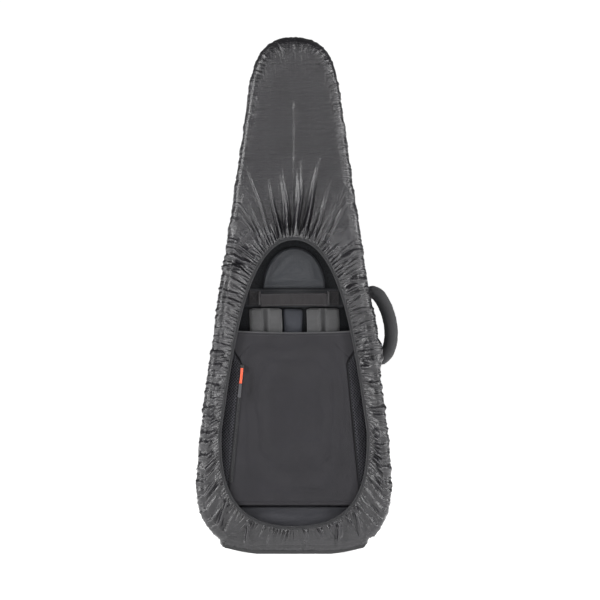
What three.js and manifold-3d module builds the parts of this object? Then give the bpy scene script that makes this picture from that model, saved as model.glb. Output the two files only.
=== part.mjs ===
// Padded gig bag for an electric guitar, standing on its rubber boot with its rain cover on.
// The bag is a clamshell: a padded back panel, a side wall, and a padded lid that hinges on one
// side. The carrying side faces -Y, with a grab handle, two stowed shoulder straps and the pocket
// that holds them. The rain cover wraps the whole bag and leaves an egg-shaped, elastic-edged
// opening over the carrying side. Millimetres, +Z up, origin on the floor under the boot's centre.
import * as THREE from "three";
import { mergeVertices } from "three/addons/utils/BufferGeometryUtils.js";
import Module from "manifold-3d";

const wasm = await Module();
wasm.setup();

// ---------------------------------------------------------------- driving dimensions
const GAP = 0.3; // left between any two pieces that touch

// Padded shell
const SHELL_BOTTOM = 12; // underside of the shell above the floor
const SHELL_HEIGHT = 1028; // from its underside to the crown of the head
const BODY_WIDTH = 378; // at its widest
const BODY_RISE = 128; // underside up to the widest point
const HEAD_WIDTH = 164; // where the head starts to round over
const HEAD_DROP = 95; // crown down to where the head starts to round over
const SHELL_DEPTH = 110; // back face to lid face
const PAD = 16; // thickness of the padded back and side walls
const LID_PAD = 18;
const LINING = 1.5;
const ARC_STEPS = 9; // points on each of the three curves of half an outline

// Seams round the shell
const PIPING = 3.6;
const ZIP_TAPE = 1.8; // thickness
const ZIP_TAPE_WIDTH = 9; // of each half
const ZIP_COIL = 1.6; // how far the coil stands proud of its tape
const SPINE_FROM = 180; // the stretch of the side that is a fabric hinge and has no zip
const SPINE_TO = 640;
const SPINE_WIDTH = 22;
const SLIDER = { width: 9, length: 15, thick: 3, tab: 20, tabWidth: 6, tabThick: 1.5, bail: 4 };
const SLIDERS_AT = 320; // height where the two sliders meet

// Rubber boot
const BOOT_WIDTH = 292;
const BOOT_HEIGHT = 46;
const BOOT_LIP = 4; // wall behind the shell
const BOOT_TONGUE_CLEARANCE = 7; // under the lid, which has to swing out over the boot's tongue
const SOLE_FLAT = 150; // width of the flat that the bag stands on
const SOLE_RISE = 11; // how far the sole curls up at its ends
const BOOT_CORNER = 12;

// Rain cover
const COVER_EASE = 1; // off what stands out of the shell's side
const COVER_WALL = 2.4;
const COVER_BACK_CLEARANCE = 1.5; // off the strap pocket's face
const COVER_FRONT_CLEARANCE = 4; // off the front pockets' sliders
const COVER_BOOT_CLEARANCE = 4;
const COVER_SOLE_GAP = 3; // bottom edge above the sole
const OPENING_TOP = 636;
const OPENING_BOTTOM = 60;
const OPENING_WIDEST = 250; // height of the opening's widest point
const OPENING_MARGIN = 10; // its widest point outside the strap pocket's foot
const HEM_WIDTH = 11;
const HEM_THICK = 5.5;
const COVER_POCKET_ROUND = 6; // looser than this round the front pockets
const SLOT_WIDTH = 34; // of the slit that the side handle comes through
const SLOT_END = 6; // beyond the handle's anchors
const SLOT_BINDING = { width: 5, thick: 1.6 };

// Carrying side
const YOKE = { width: 204, height: 39, thick: 2.4 }; // panel that the straps and the handle are sewn to
const GRAB = { width: 28, thick: 4, span: 134, bow: 9, standoff: 18, foot: 24, patch: 2.5 };
const ARCH_PAD = { width: 126, height: 82, thick: 7 };
const LOWER_PAD = { from: 52, thick: 7 };
const STRAP = { width: 66, thick: 10, web: 3, rib: 28, top: 500, length: 314, apart: 50 };
const WEBBING = { width: 25, thick: 2.4 };
const BUCKLE = { width: 36, height: 24, thick: 4, bar: 4.5 };
const HOOK = { width: 22, height: 34, thick: 5, wall: 5, shank: 13 };
const D_RING = { width: 34, height: 24, wire: 4, thick: 2.4, z: 118 };
const D_LOOP = { width: 24, length: 26, cloth: 1.2 };

// Strap pocket
const POCKET = { bottom: 100, top: 452, face: 3, clearance: 3, binding: 0.8 };
const POCKET_SIDE = 16; // shoulder outside the straps that it holds
const POCKET_FLARE = 28; // foot wider than the shoulder
const POCKET_EAR = { out: 18, from: 419, lean: 3 };
const POCKET_SHOULDER_Z = 391;
const MESH_THICK = 2;
const POCKET_ZIP = { inset: 3, tape: 7, tapeThick: 0.8, coil: 3.2, coilThick: 1.5, from: 146, end: 6 };
const POCKET_SLIDER = { z: 378, width: 8, length: 14, thick: 4 };
const PULL = { cord: 3.2, cordLength: 30, gripWidth: 7.5, gripLength: 29, gripThick: 3.4 };

// Side handle
const HANDLE_FROM = 388; // heights of the two ends of its free stretch
const HANDLE_TO = 538;
const HANDLE_REACH = 29; // centre line out from the hinge line
const HANDLE_RADIUS = 14;
const HANDLE_CORE = 5.5;
const HANDLE_AXIS_OFF = 17; // hinge line off the shell's side
const SLEEVE_SKIP = 4; // of the handle's 28 steps left bare at each end
const ANCHOR = { width: 30, height: 42, thick: 3, stub: 9, stubWidth: 14 };

// Front pockets, on the lid
const FRONT_INSET = 24; // pocket outline inside the lid's
const FRONT_WALL = 3;
const LOWER_POCKET = { from: 66, depth: 32 };
const UPPER_POCKET = { belowCrown: 110, height: 326, depth: 17 };
const POCKETS_APART = 84;
const FRONT_ZIP = { tape: 18, thick: 1.4, coil: 5, coilThick: 1.4, below: 26, inset: 16 };
const FRONT_SLIDER = { length: 14, width: 8, thick: 2.2, tab: 27, tabWidth: 6, inset: 14 };

// Inside
const NECK_REST = { width: 92, height: 62, belowCrown: 232, headroom: 22, notch: 27 };
const NECK_STRAP = { width: 38, thick: 2.5, rise: 6 };
const END_CUSHION = 24;

const SHELL_TOP = SHELL_BOTTOM + SHELL_HEIGHT;
const BACK = -SHELL_DEPTH / 2; // the shell's back face
const FRONT = SHELL_DEPTH / 2; // the lid's outer face
const LID_BACK = FRONT - LID_PAD; // where the lid meets the side wall
const ZIP_FACE = GAP + ZIP_TAPE + ZIP_COIL + GAP; // where a main slider stands off the shell
const COVER_CLEARANCE = ZIP_FACE + SLIDER.thick + COVER_EASE;
const BACK_FACE = BACK - GAP; // what is sewn to the back starts here
const YOKE_FACE = BACK_FACE - YOKE.thick;
const YOKE_BOTTOM = STRAP.top + GAP;
const GRAB_Z = YOKE_BOTTOM + YOKE.height / 2;
const POCKET_INNER = BACK_FACE - 2 * GAP - STRAP.thick - POCKET.clearance;
const POCKET_OUTER = POCKET_INNER - POCKET.face;
const COVER_BACK = POCKET_OUTER - COVER_BACK_CLEARANCE;
const STRAP_X = STRAP.apart / 2 + STRAP.width / 2;
const POCKET_SHOULDER = STRAP.apart / 2 + STRAP.width + POCKET_SIDE;
const POCKET_FOOT = POCKET_SHOULDER + POCKET_FLARE;
const OPENING_HALF = POCKET_FOOT + OPENING_MARGIN;
const HEAD_POCKET_TOP = SHELL_TOP - UPPER_POCKET.belowCrown;
const HEAD_POCKET_BOTTOM = HEAD_POCKET_TOP - UPPER_POCKET.height;
const FRONT_POCKET_TOP = HEAD_POCKET_BOTTOM - POCKETS_APART;

// ---------------------------------------------------------------- materials
const material = (color, roughness) =>
  new THREE.MeshStandardMaterial({ color, roughness, metalness: 0 });
const BALLISTIC = material(0x3e3e40, 0.85);
const PLUSH = material(0x2c2c30, 1.0);
const RIPSTOP = material(0x4a494d, 0.42);
const ELASTIC = material(0x3a3a3b, 0.8);
const WEBBING_CLOTH = material(0x565254, 0.8);
const STRAP_CLOTH = material(0x555554, 0.9);
const HANDLE_CLOTH = material(0x3a3a3c, 0.85);
const AIR_MESH = material(0x26262a, 0.95);
const RUBBER = material(0x2b2b2c, 0.75);
const BLACK_PLASTIC = material(0x161617, 0.45);
const ZIP_CLOTH = material(0x151517, 0.7);
const ORANGE = material(0xe95b33, 0.5);
const GREY_GRIP = material(0x47474a, 0.6);
const FOAM = material(0x202022, 1.0);

// ---------------------------------------------------------------- outline helpers
const at = (x, y) => new THREE.Vector2(x, y);

// A closed outline, moved out by grow along its own normals.
function offset(points, grow) {
  return points.map((p, i) => {
    const before = points[(i + points.length - 1) % points.length];
    const after = points[(i + 1) % points.length];
    const a = at(p.y - before.y, before.x - p.x).normalize();
    const b = at(after.y - p.y, p.x - after.x).normalize();
    const n = a.clone().add(b).normalize();
    return p.clone().addScaledVector(n, grow / n.dot(a));
  });
}

// A symmetric outline from the curves of its right half, which run up from the bottom centre.
function mirrored(curves, steps) {
  const right = curves.flatMap((curve, i) => curve.getPoints(steps).slice(i ? 1 : 0));
  const left = right.slice(1, -1).reverse().map((p) => at(-p.x, p.y));
  return [...right, ...left];
}

// A symmetric outline from the corners of its right half, bottom to top.
const bothSides = (right) => [...right, ...right.map((p) => at(-p.x, p.y)).reverse()];

// The shell seen from behind: a round bottom, long sides that lean in, and a round head.
function shellOutline(grow = 0) {
  const body = BODY_WIDTH / 2;
  const head = HEAD_WIDTH / 2;
  const bodyZ = SHELL_BOTTOM + BODY_RISE;
  const headZ = SHELL_TOP - HEAD_DROP;
  const side = headZ - bodyZ;
  const lean = (body - head) / side;
  const curves = [
    new THREE.CubicBezierCurve(
      at(0, SHELL_BOTTOM),
      at(0.8 * body, SHELL_BOTTOM),
      at(body, SHELL_BOTTOM + 0.24 * BODY_RISE),
      at(body, bodyZ),
    ),
    new THREE.CubicBezierCurve(
      at(body, bodyZ),
      at(body, bodyZ + 0.15 * side),
      at(head + lean * 0.31 * side, headZ - 0.31 * side),
      at(head, headZ),
    ),
    new THREE.CubicBezierCurve(
      at(head, headZ),
      at(0.96 * head, headZ + 0.6 * HEAD_DROP),
      at(0.7 * head, SHELL_TOP),
      at(0, SHELL_TOP),
    ),
  ];
  return offset(mirrored(curves, ARC_STEPS), grow);
}

// Half the shell's width at a height.
function halfWidth(z, grow = 0) {
  const right = shellOutline(grow).filter((p) => p.x >= 0);
  const i = right.findIndex((p, k) => k > 0 && right[k - 1].y <= z && p.y >= z && p.y > right[k - 1].y);
  if (i < 0) return 0;
  const [a, b] = [right[i - 1], right[i]];
  return a.x + ((b.x - a.x) * (z - a.y)) / (b.y - a.y);
}

// The part of the shell's outline between two heights, closed by straight lines.
function outlineBetween(low, high, grow) {
  const right = shellOutline(grow).filter((p) => p.x > 0 && p.y > low + 1 && p.y < high - 1);
  return bothSides([at(halfWidth(low, grow), low), ...right, at(halfWidth(high, grow), high)]);
}

// The egg-shaped opening in the rain cover, narrow end up.
function openingOutline(grow = 0) {
  const lower = OPENING_WIDEST - OPENING_BOTTOM;
  const upper = OPENING_TOP - OPENING_WIDEST;
  const curves = [
    new THREE.CubicBezierCurve(
      at(0, OPENING_BOTTOM),
      at(0.86 * OPENING_HALF, OPENING_BOTTOM),
      at(1.02 * OPENING_HALF, OPENING_WIDEST - 0.58 * lower),
      at(OPENING_HALF, OPENING_WIDEST),
    ),
    new THREE.CubicBezierCurve(
      at(OPENING_HALF, OPENING_WIDEST),
      at(0.83 * OPENING_HALF, OPENING_WIDEST + 0.44 * upper),
      at(0.65 * OPENING_HALF, OPENING_TOP),
      at(0, OPENING_TOP),
    ),
  ];
  return offset(mirrored(curves, 14), grow);
}

// The sole's right half from the middle out: flat, then curling up, raised by some lift.
function soleCurve(lift) {
  const end = BOOT_WIDTH / 2 - BOOT_CORNER;
  const curl = new THREE.QuadraticBezierCurve(
    at(SOLE_FLAT / 2, lift),
    at(end - 2 * BOOT_CORNER, lift + 0.4 * SOLE_RISE),
    at(end, lift + SOLE_RISE),
  );
  return curl.getPoints(4);
}

// The boot seen from behind, grown by some margin.
function bootOutline(grow = 0) {
  const half = BOOT_WIDTH / 2;
  const corner = new THREE.QuadraticBezierCurve(
    at(half - BOOT_CORNER, SOLE_RISE),
    at(half, SOLE_RISE),
    at(half, SOLE_RISE + BOOT_CORNER),
  );
  const right = [...soleCurve(0), ...corner.getPoints(4).slice(1), at(half, BOOT_HEIGHT)];
  return offset(bothSides(right), grow);
}

// ---------------------------------------------------------------- solid helpers
const shapeOf = (points) => new THREE.Shape(points);

function ring(outer, inner) {
  const shape = shapeOf(outer);
  shape.holes.push(new THREE.Path(inner));
  return shape;
}

const rectangle = (width, height, x = 0, y = 0) =>
  shapeOf([
    at(x - width / 2, y - height / 2),
    at(x + width / 2, y - height / 2),
    at(x + width / 2, y + height / 2),
    at(x - width / 2, y + height / 2),
  ]);

// A shape drawn in X and Z, as a slab from y0 to y1.
function slab(shape, y0, y1, curveSegments = 8) {
  const options = { depth: y1 - y0, bevelEnabled: false, curveSegments };
  return new THREE.ExtrudeGeometry(shape, options).rotateX(Math.PI / 2).translate(0, y1, 0);
}

// A shape drawn in X and Y, as a bar up from z0.
function bar(shape, z0, length, curveSegments = 10) {
  const options = { depth: length, bevelEnabled: false, curveSegments };
  return new THREE.ExtrudeGeometry(shape, options).translate(0, 0, z0);
}

const box = ([x0, x1], [y0, y1], [z0, z1]) =>
  new THREE.BoxGeometry(x1 - x0, y1 - y0, z1 - z0).translate(
    (x0 + x1) / 2,
    (y0 + y1) / 2,
    (z0 + z1) / 2,
  );

// The range of a size centred on a place.
const about = (size, centre = 0) => [centre - size / 2, centre + size / 2];

function tube(curve, radius, steps, sides = 10) {
  const section = Array.from({ length: sides }, (_, i) => {
    const angle = (2 * Math.PI * i) / sides;
    return at(radius * Math.cos(angle), radius * Math.sin(angle));
  });
  const options = { steps, extrudePath: curve, bevelEnabled: false };
  return new THREE.ExtrudeGeometry(shapeOf(section), options);
}

// A solid through a row of four-cornered sections, each counter-clockwise seen from its far end.
function loft(sections) {
  const last = 4 * (sections.length - 1);
  const faces = [0, 2, 1, 0, 3, 2, last, last + 1, last + 2, last, last + 2, last + 3];
  for (let s = 0; s < sections.length - 1; s++) {
    for (let k = 0; k < 4; k++) {
      const [a, b] = [4 * s + k, 4 * s + ((k + 1) % 4)];
      faces.push(a, b, b + 4, a, b + 4, a + 4);
    }
  }
  const positions = sections.flat().flatMap((p) => [p.x, p.y, p.z]);
  const geometry = new THREE.BufferGeometry();
  geometry.setAttribute("position", new THREE.Float32BufferAttribute(positions, 3));
  geometry.setIndex(faces);
  geometry.computeVertexNormals();
  return geometry;
}

// A geometry as a manifold-3d solid.
function solid(geometry) {
  const bare = geometry.clone();
  bare.deleteAttribute("normal");
  bare.deleteAttribute("uv");
  const merged = mergeVertices(bare, 1e-4);
  return new wasm.Manifold(
    new wasm.Mesh({
      numProp: 3,
      vertProperties: new Float32Array(merged.attributes.position.array),
      triVerts: new Uint32Array(merged.index.array),
    }),
  );
}

function geometryOf(manifold) {
  const mesh = manifold.getMesh();
  const geometry = new THREE.BufferGeometry();
  geometry.setAttribute("position", new THREE.BufferAttribute(mesh.vertProperties, 3));
  geometry.setIndex(new THREE.BufferAttribute(mesh.triVerts, 1));
  geometry.computeVertexNormals();
  return geometry;
}

const cut = (geometry, ...tools) =>
  geometryOf(tools.reduce((body, tool) => body.subtract(solid(tool)), solid(geometry)));
const join = (geometry, ...others) =>
  geometryOf(others.reduce((body, other) => body.add(solid(other)), solid(geometry)));
const common = (geometry, other) => geometryOf(solid(geometry).intersect(solid(other)));

// A geometry mirrored left to right, with its faces turned back out.
function mirrorX(geometry) {
  const turned = geometry.clone().scale(-1, 1, 1);
  const index = Array.from(turned.index.array);
  for (let i = 0; i < index.length; i += 3) {
    [index[i + 1], index[i + 2]] = [index[i + 2], index[i + 1]];
  }
  turned.setIndex(index);
  turned.computeVertexNormals();
  return turned;
}

const bag = new THREE.Group();
const FAR = 4 * SHELL_HEIGHT; // beyond everything, for cutting solids
const SIDES = [
  ["left", -1],
  ["right", 1],
];

function add(name, geometry, look, parent = bag) {
  const mesh = new THREE.Mesh(geometry, look);
  mesh.name = name;
  parent.add(mesh);
  return mesh;
}

// The straight line that just touches the right side of the shell between two heights.
function sideLine(low, high) {
  const start = at(halfWidth(low), low);
  const end = at(halfWidth(high), high);
  const along = end.clone().sub(start).normalize();
  const out = at(along.y, -along.x);
  const between = shellOutline().filter((p) => p.x > 0 && p.y > low && p.y < high);
  const bulge = Math.max(0, ...between.map((p) => p.clone().sub(start).dot(out)));
  return {
    start: start.addScaledVector(out, bulge),
    end: end.addScaledVector(out, bulge),
    out,
    tilt: Math.atan2(along.x, along.y),
  };
}

// A group standing on the right side of the shell between two heights: its X points out from
// the side, its Z runs up along it, and its origin is off the side by some distance.
function sideGroup(low, high, off, y) {
  const line = sideLine(low, high);
  const middle = line.start.clone().add(line.end).multiplyScalar(0.5);
  middle.addScaledVector(line.out, off);
  const group = new THREE.Group();
  group.position.set(middle.x, y, middle.y);
  group.rotation.y = line.tilt;
  group.updateMatrixWorld(true);
  bag.add(group);
  return group;
}

// ---------------------------------------------------------------- padded shell
function addShell() {
  const backFace = BACK + PAD;
  add("back_panel", slab(shapeOf(shellOutline()), BACK, backFace), BALLISTIC);
  const wall = ring(shellOutline(), shellOutline(-PAD));
  add("side_wall", slab(wall, backFace + GAP, LID_BACK), BALLISTIC);
  const lining = shapeOf(shellOutline(-PAD - GAP));
  add("back_lining", slab(lining, backFace + GAP, backFace + GAP + LINING), PLUSH);
  const cord = ring(shellOutline(GAP + PIPING), shellOutline(GAP));
  add("back_piping", slab(cord, ...about(PIPING, backFace)), ELASTIC);
}

// Half of the main zip, a tape round the shell with its coil along one edge. The fabric hinge
// takes its place on one side.
function zipHalf(edge, side) {
  const tapeRing = ring(shellOutline(GAP + ZIP_TAPE), shellOutline(GAP));
  const coilRing = ring(shellOutline(GAP + ZIP_TAPE + ZIP_COIL), shellOutline(GAP));
  const range = (depth) => [Math.min(edge, edge + side * depth), Math.max(edge, edge + side * depth)];
  const tape = slab(tapeRing, ...range(ZIP_TAPE_WIDTH));
  const coil = slab(coilRing, ...range(ZIP_COIL));
  return cut(join(tape, coil), box([-FAR, 0], [-FAR, FAR], [SPINE_FROM, SPINE_TO]));
}

function addMainZip() {
  add("main_zip_wall_half", zipHalf(LID_BACK - GAP / 2, -1), ZIP_CLOTH);
  add("main_zip_lid_half", zipHalf(LID_BACK + GAP, 1), ZIP_CLOTH);
  const strip = ring(shellOutline(GAP + ZIP_TAPE), shellOutline(GAP));
  const stretch = box([-FAR, 0], [-FAR, FAR], [SPINE_FROM + GAP, SPINE_TO - GAP]);
  const spine = common(slab(strip, LID_BACK - SPINE_WIDTH, LID_BACK - GAP), stretch);
  add("lid_fabric_hinge", spine, BALLISTIC);
  // Two sliders meet on the side away from the fabric hinge.
  const off = ZIP_FACE + SLIDER.thick / 2;
  const place = sideGroup(SLIDERS_AT - SLIDER.length, SLIDERS_AT + SLIDER.length, off, LID_BACK);
  for (const [name, side] of [["main_zip_slider_upper", 1], ["main_zip_slider_lower", -1]]) {
    const block = new THREE.BoxGeometry(SLIDER.thick, SLIDER.width, SLIDER.length);
    const outer = [SLIDER.thick / 2 - SLIDER.tabThick, SLIDER.thick / 2];
    const tabY = [-1.5 * SLIDER.tabWidth - SLIDER.width / 2, -SLIDER.width / 2 + 1];
    const tabZ = [0, 1].map((end) => side * (end * SLIDER.tab - SLIDER.length / 2));
    const tab = box(outer, [tabY[0], tabY[0] + SLIDER.tabWidth], tabZ.sort((a, b) => a - b));
    const bail = box(outer, tabY, about(SLIDER.bail, side * SLIDER.bail));
    const slider = add(name, join(block, bail, tab), BLACK_PLASTIC, place);
    slider.position.z = side * (SLIDER.length / 2 + GAP);
  }
}

// ---------------------------------------------------------------- boot
// A cradle behind and under the side wall. Under the lid it thins to a tongue that keeps the
// bag upright and leaves the lid room to swing.
function addBoot() {
  const around = (grow, from, to) => slab(shapeOf(shellOutline(grow)), from, to);
  const block = slab(shapeOf(bootOutline()), BACK - BOOT_LIP, FRONT);
  const shell = around(GAP, BACK_FACE, FRONT + GAP);
  const piping = around(2 * GAP + PIPING, ...about(PIPING + 2 * GAP, BACK + PAD));
  const tongueFrom = LID_BACK - ZIP_TAPE_WIDTH - 2 * GAP;
  const lid = around(BOOT_TONGUE_CLEARANCE, tongueFrom, FRONT + GAP);
  add("rubber_boot", cut(block, shell, piping, lid), RUBBER);
}

// ---------------------------------------------------------------- inside
function addInside() {
  const floor = BACK + PAD + LINING + 2 * GAP;
  const low = SHELL_BOTTOM + PAD + 6;
  const cushion = shapeOf(outlineBetween(low, low + END_CUSHION, -PAD - 2 * GAP));
  add("end_cushion", slab(cushion, floor, LID_BACK - LINING - 2), FOAM);

  const restZ = SHELL_TOP - NECK_REST.belowCrown;
  const top = LID_BACK - LINING - NECK_REST.headroom;
  const half = NECK_REST.width / 2;
  const profile = new THREE.Shape();
  profile.moveTo(-half, floor).lineTo(half, floor).lineTo(half, top).lineTo(NECK_REST.notch, top);
  profile.absarc(0, top, NECK_REST.notch, 0, Math.PI, true);
  profile.lineTo(-half, top);
  add("neck_rest", bar(profile, restZ, NECK_REST.height), FOAM);

  // The strap that holds the neck down arches over the notch from side to side of the rest.
  const start = top + GAP;
  const bend = start + 2 * NECK_STRAP.rise;
  const arch = new THREE.Shape();
  arch.moveTo(-half, start).quadraticCurveTo(0, bend, half, start);
  arch.lineTo(half, start + NECK_STRAP.thick);
  arch.quadraticCurveTo(0, bend + NECK_STRAP.thick, -half, start + NECK_STRAP.thick);
  const strapZ = restZ + (NECK_REST.height - NECK_STRAP.width) / 2;
  add("neck_strap", bar(arch, strapZ, NECK_STRAP.width), WEBBING_CLOTH);
}

// ---------------------------------------------------------------- carrying side
function addBackPads() {
  const low = YOKE_BOTTOM + YOKE.height + 2 * GAP;
  const high = low + ARCH_PAD.height;
  const middle = (low + high) / 2;
  const half = ARCH_PAD.width / 2;
  const arch = new THREE.Shape();
  arch.moveTo(-half, low).lineTo(half, low);
  arch.bezierCurveTo(half, middle, 0.62 * half, high, 0, high);
  arch.bezierCurveTo(-0.62 * half, high, -half, middle, -half, low);
  add("upper_back_pad", slab(arch, BACK_FACE - ARCH_PAD.thick, BACK_FACE), BALLISTIC);
  const lower = shapeOf(outlineBetween(LOWER_PAD.from, POCKET.bottom - 2, -PAD));
  add("lower_back_pad", slab(lower, BACK_FACE - LOWER_PAD.thick, BACK_FACE), BALLISTIC);
}

// The grab handle is a bow of webbing between two feet that stand off the back.
function addGrabHandle() {
  const axisY = BACK - GRAB.standoff;
  const end = GRAB.span / 2;
  const bend = -2 * GRAB.bow;
  const bow = new THREE.Shape();
  bow.moveTo(-end, -GRAB.thick / 2).quadraticCurveTo(0, bend - GRAB.thick / 2, end, -GRAB.thick / 2);
  bow.lineTo(end, GRAB.thick / 2);
  bow.quadraticCurveTo(0, bend + GRAB.thick / 2, -end, GRAB.thick / 2);
  const strap = add("grab_handle", bar(bow, -GRAB.width / 2, GRAB.width), WEBBING_CLOTH);
  strap.position.set(0, axisY, GRAB_Z);

  const inner = end + 2 * GAP;
  const face = YOKE_FACE - GAP;
  const post = box([inner, inner + GRAB.thick], [axisY - GRAB.thick / 2, face], about(GRAB.width));
  const patch = box([inner, inner + GRAB.foot], [face - GRAB.patch, face], about(GRAB.width));
  const foot = join(post, patch);
  for (const [side, sign] of SIDES) {
    const shape = sign > 0 ? foot : mirrorX(foot);
    add("grab_handle_foot_" + side, shape, WEBBING_CLOTH).position.z = GRAB_Z;
  }
}

// One shoulder strap as it hangs in the pocket: a padded strap of two ribs, then its buckle, its
// webbing folded into a hank, and the hook that clips to a D-ring.
function addStrap(side, sign) {
  const group = new THREE.Group();
  group.position.set(sign * STRAP_X, BACK_FACE - GAP - STRAP.thick / 2, 0);
  bag.add(group);
  const half = STRAP.width / 2;
  const thick = STRAP.thick / 2;
  const round = 0.4 * STRAP.thick;
  const rib = half - STRAP.rib;
  const profile = new THREE.Shape();
  profile.moveTo(-half + round, -thick).lineTo(-rib - round, -thick);
  profile.quadraticCurveTo(-rib, -thick, -rib, -STRAP.web / 2).lineTo(rib, -STRAP.web / 2);
  profile.quadraticCurveTo(rib, -thick, rib + round, -thick).lineTo(half - round, -thick);
  profile.quadraticCurveTo(half, -thick, half, 0).quadraticCurveTo(half, thick, half - round, thick);
  profile.lineTo(-half + round, thick);
  profile.quadraticCurveTo(-half, thick, -half, 0);
  profile.quadraticCurveTo(-half, -thick, -half + round, -thick);
  const bottom = STRAP.top - STRAP.length;
  add("shoulder_strap_" + side, bar(profile, bottom, STRAP.length, 3), STRAP_CLOTH, group);

  // A ladder of three bars with the webbing threaded flat between them.
  const buckleZ = bottom - 2 * GAP - BUCKLE.height / 2;
  const rungs = [-1, 0, 1].map((k) => {
    const z = (k * (BUCKLE.height - BUCKLE.bar)) / 2;
    return box(about(BUCKLE.width), about(BUCKLE.thick), about(BUCKLE.bar, z));
  });
  const plate = box(about(BUCKLE.width), about(BUCKLE.thick / 2), about(BUCKLE.height - 2));
  const buckle = add("strap_buckle_" + side, join(plate, ...rungs), BLACK_PLASTIC, group);
  buckle.position.z = buckleZ;

  const hankTop = buckleZ - BUCKLE.height / 2 - GAP;
  const hookTop = POCKET.bottom + POCKET.face + 2 + HOOK.height;
  const hank = box(about(WEBBING.width), about(2 * WEBBING.thick), [hookTop + GAP, hankTop]);
  add("strap_webbing_" + side, hank, WEBBING_CLOTH, group);

  const outer = rectangle(HOOK.width, HOOK.height);
  const mouthHeight = HOOK.height - HOOK.shank - HOOK.wall;
  const mouthZ = (HOOK.wall - HOOK.shank) / 2;
  const mouth = rectangle(HOOK.width - 2 * HOOK.wall, mouthHeight, 0, mouthZ);
  outer.holes.push(new THREE.Path(mouth.getPoints()));
  const hook = add("strap_hook_" + side, slab(outer, ...about(HOOK.thick)), BLACK_PLASTIC, group);
  hook.position.z = hookTop - HOOK.height / 2;
}

// The D-ring low on the side wall that a strap's hook clips to, and the loop of webbing round
// its straight bar. Drawn on the right side, then mirrored for the left.
function addDRings() {
  const d = (grow) => {
    const half = D_RING.width / 2 + grow;
    const high = D_RING.height + grow;
    const shape = new THREE.Shape();
    shape.moveTo(-half, -grow).lineTo(half, -grow);
    shape.bezierCurveTo(half, 0.75 * high, 0.6 * half, high, 0, high);
    shape.bezierCurveTo(-0.6 * half, high, -half, 0.75 * high, -half, -grow);
    return shape;
  };
  const outline = d(0);
  outline.holes.push(new THREE.Path(d(-D_RING.wire).getPoints(6)));
  const inner = GAP + D_LOOP.cloth + GAP;
  const place = sideGroup(D_RING.z - D_LOOP.length, D_RING.z + D_RING.height, 0, 0);
  const low = -(D_LOOP.length + D_RING.height) / 2 + D_LOOP.length;
  // Lies against the side: the ring's width along Y and its thickness along X.
  const ringShape = slab(outline, -inner - D_RING.thick, -inner, 6).rotateZ(Math.PI / 2);
  ringShape.translate(0, 0, low);
  const reach = inner + D_RING.thick + GAP + D_LOOP.cloth;
  const loopTop = low + D_RING.wire + GAP + D_LOOP.cloth;
  const loop = box([GAP, reach], about(D_LOOP.width), [low - D_LOOP.length, loopTop]);
  const room = box(
    [inner - GAP, inner + D_RING.thick + GAP],
    [-FAR, FAR],
    [low - GAP, low + D_RING.wire + GAP],
  );
  const tab = cut(loop, room);
  for (const [name, shape, look] of [
    ["strap_d_ring", ringShape, BLACK_PLASTIC],
    ["strap_d_ring_loop", tab, WEBBING_CLOTH],
  ]) {
    const placed = geometryOf(solid(shape)).applyMatrix4(place.matrixWorld);
    add(name + "_right", placed, look);
    add(name + "_left", mirrorX(placed), look);
  }
}

function addStraps() {
  const yoke = box(
    about(YOKE.width),
    [YOKE_FACE, BACK_FACE],
    [YOKE_BOTTOM, YOKE_BOTTOM + YOKE.height],
  );
  add("strap_yoke", yoke, BALLISTIC);
  for (const [side, sign] of SIDES) addStrap(side, sign);
  addDRings();
}

// ---------------------------------------------------------------- strap pocket
// Half the width of the pocket's face at a height below its shoulders.
const faceEdge = (z) =>
  POCKET_SHOULDER +
  (POCKET_FLARE * (POCKET_SHOULDER_Z - z)) / (POCKET_SHOULDER_Z - POCKET.bottom);

function addPocket() {
  const ear = POCKET_SHOULDER + POCKET_EAR.out;
  const outline = bothSides([
    at(POCKET_FOOT, POCKET.bottom),
    at(POCKET_SHOULDER, POCKET_SHOULDER_Z),
    at(ear, POCKET_EAR.from),
    at(ear - POCKET_EAR.lean, POCKET.top),
  ]);
  const face = slab(shapeOf(outline), POCKET_OUTER, POCKET_INNER);
  const floorTop = POCKET.bottom + POCKET.face;
  const floor = box([-POCKET_FOOT, POCKET_FOOT], [POCKET_OUTER, BACK_FACE], [POCKET.bottom, floorTop]);
  add("pocket_face", join(face, floor), BALLISTIC);
  const binding = box(
    about(2 * (ear - POCKET_EAR.lean - 2)),
    [POCKET_OUTER - POCKET.binding, POCKET_INNER + POCKET.binding],
    [POCKET.top + GAP, POCKET.top + GAP + 4 * POCKET.binding],
  );
  add("pocket_top_binding", binding, ELASTIC);

  // The mesh side runs from the face's edge back to the panel behind, and is sewn down halfway
  // between there and the shell's edge.
  const stations = [
    [faceEdge(POCKET.bottom), POCKET.bottom],
    [POCKET_SHOULDER, POCKET_SHOULDER_Z - 4],
    [ear, POCKET_EAR.from - 2],
  ];
  for (const [side, sign] of SIDES) {
    const sections = stations.map(([edge, z]) => {
      const near = edge + 2 * GAP;
      const far = (near + halfWidth(z)) / 2;
      const corners = [
        new THREE.Vector3(sign * near, POCKET_OUTER, z),
        new THREE.Vector3(sign * far, BACK_FACE - MESH_THICK, z),
        new THREE.Vector3(sign * far, BACK_FACE, z),
        new THREE.Vector3(sign * near, POCKET_OUTER + MESH_THICK, z),
      ];
      return sign > 0 ? corners : corners.reverse();
    });
    add("pocket_mesh_" + side, loft(sections), AIR_MESH);
  }
}

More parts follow.
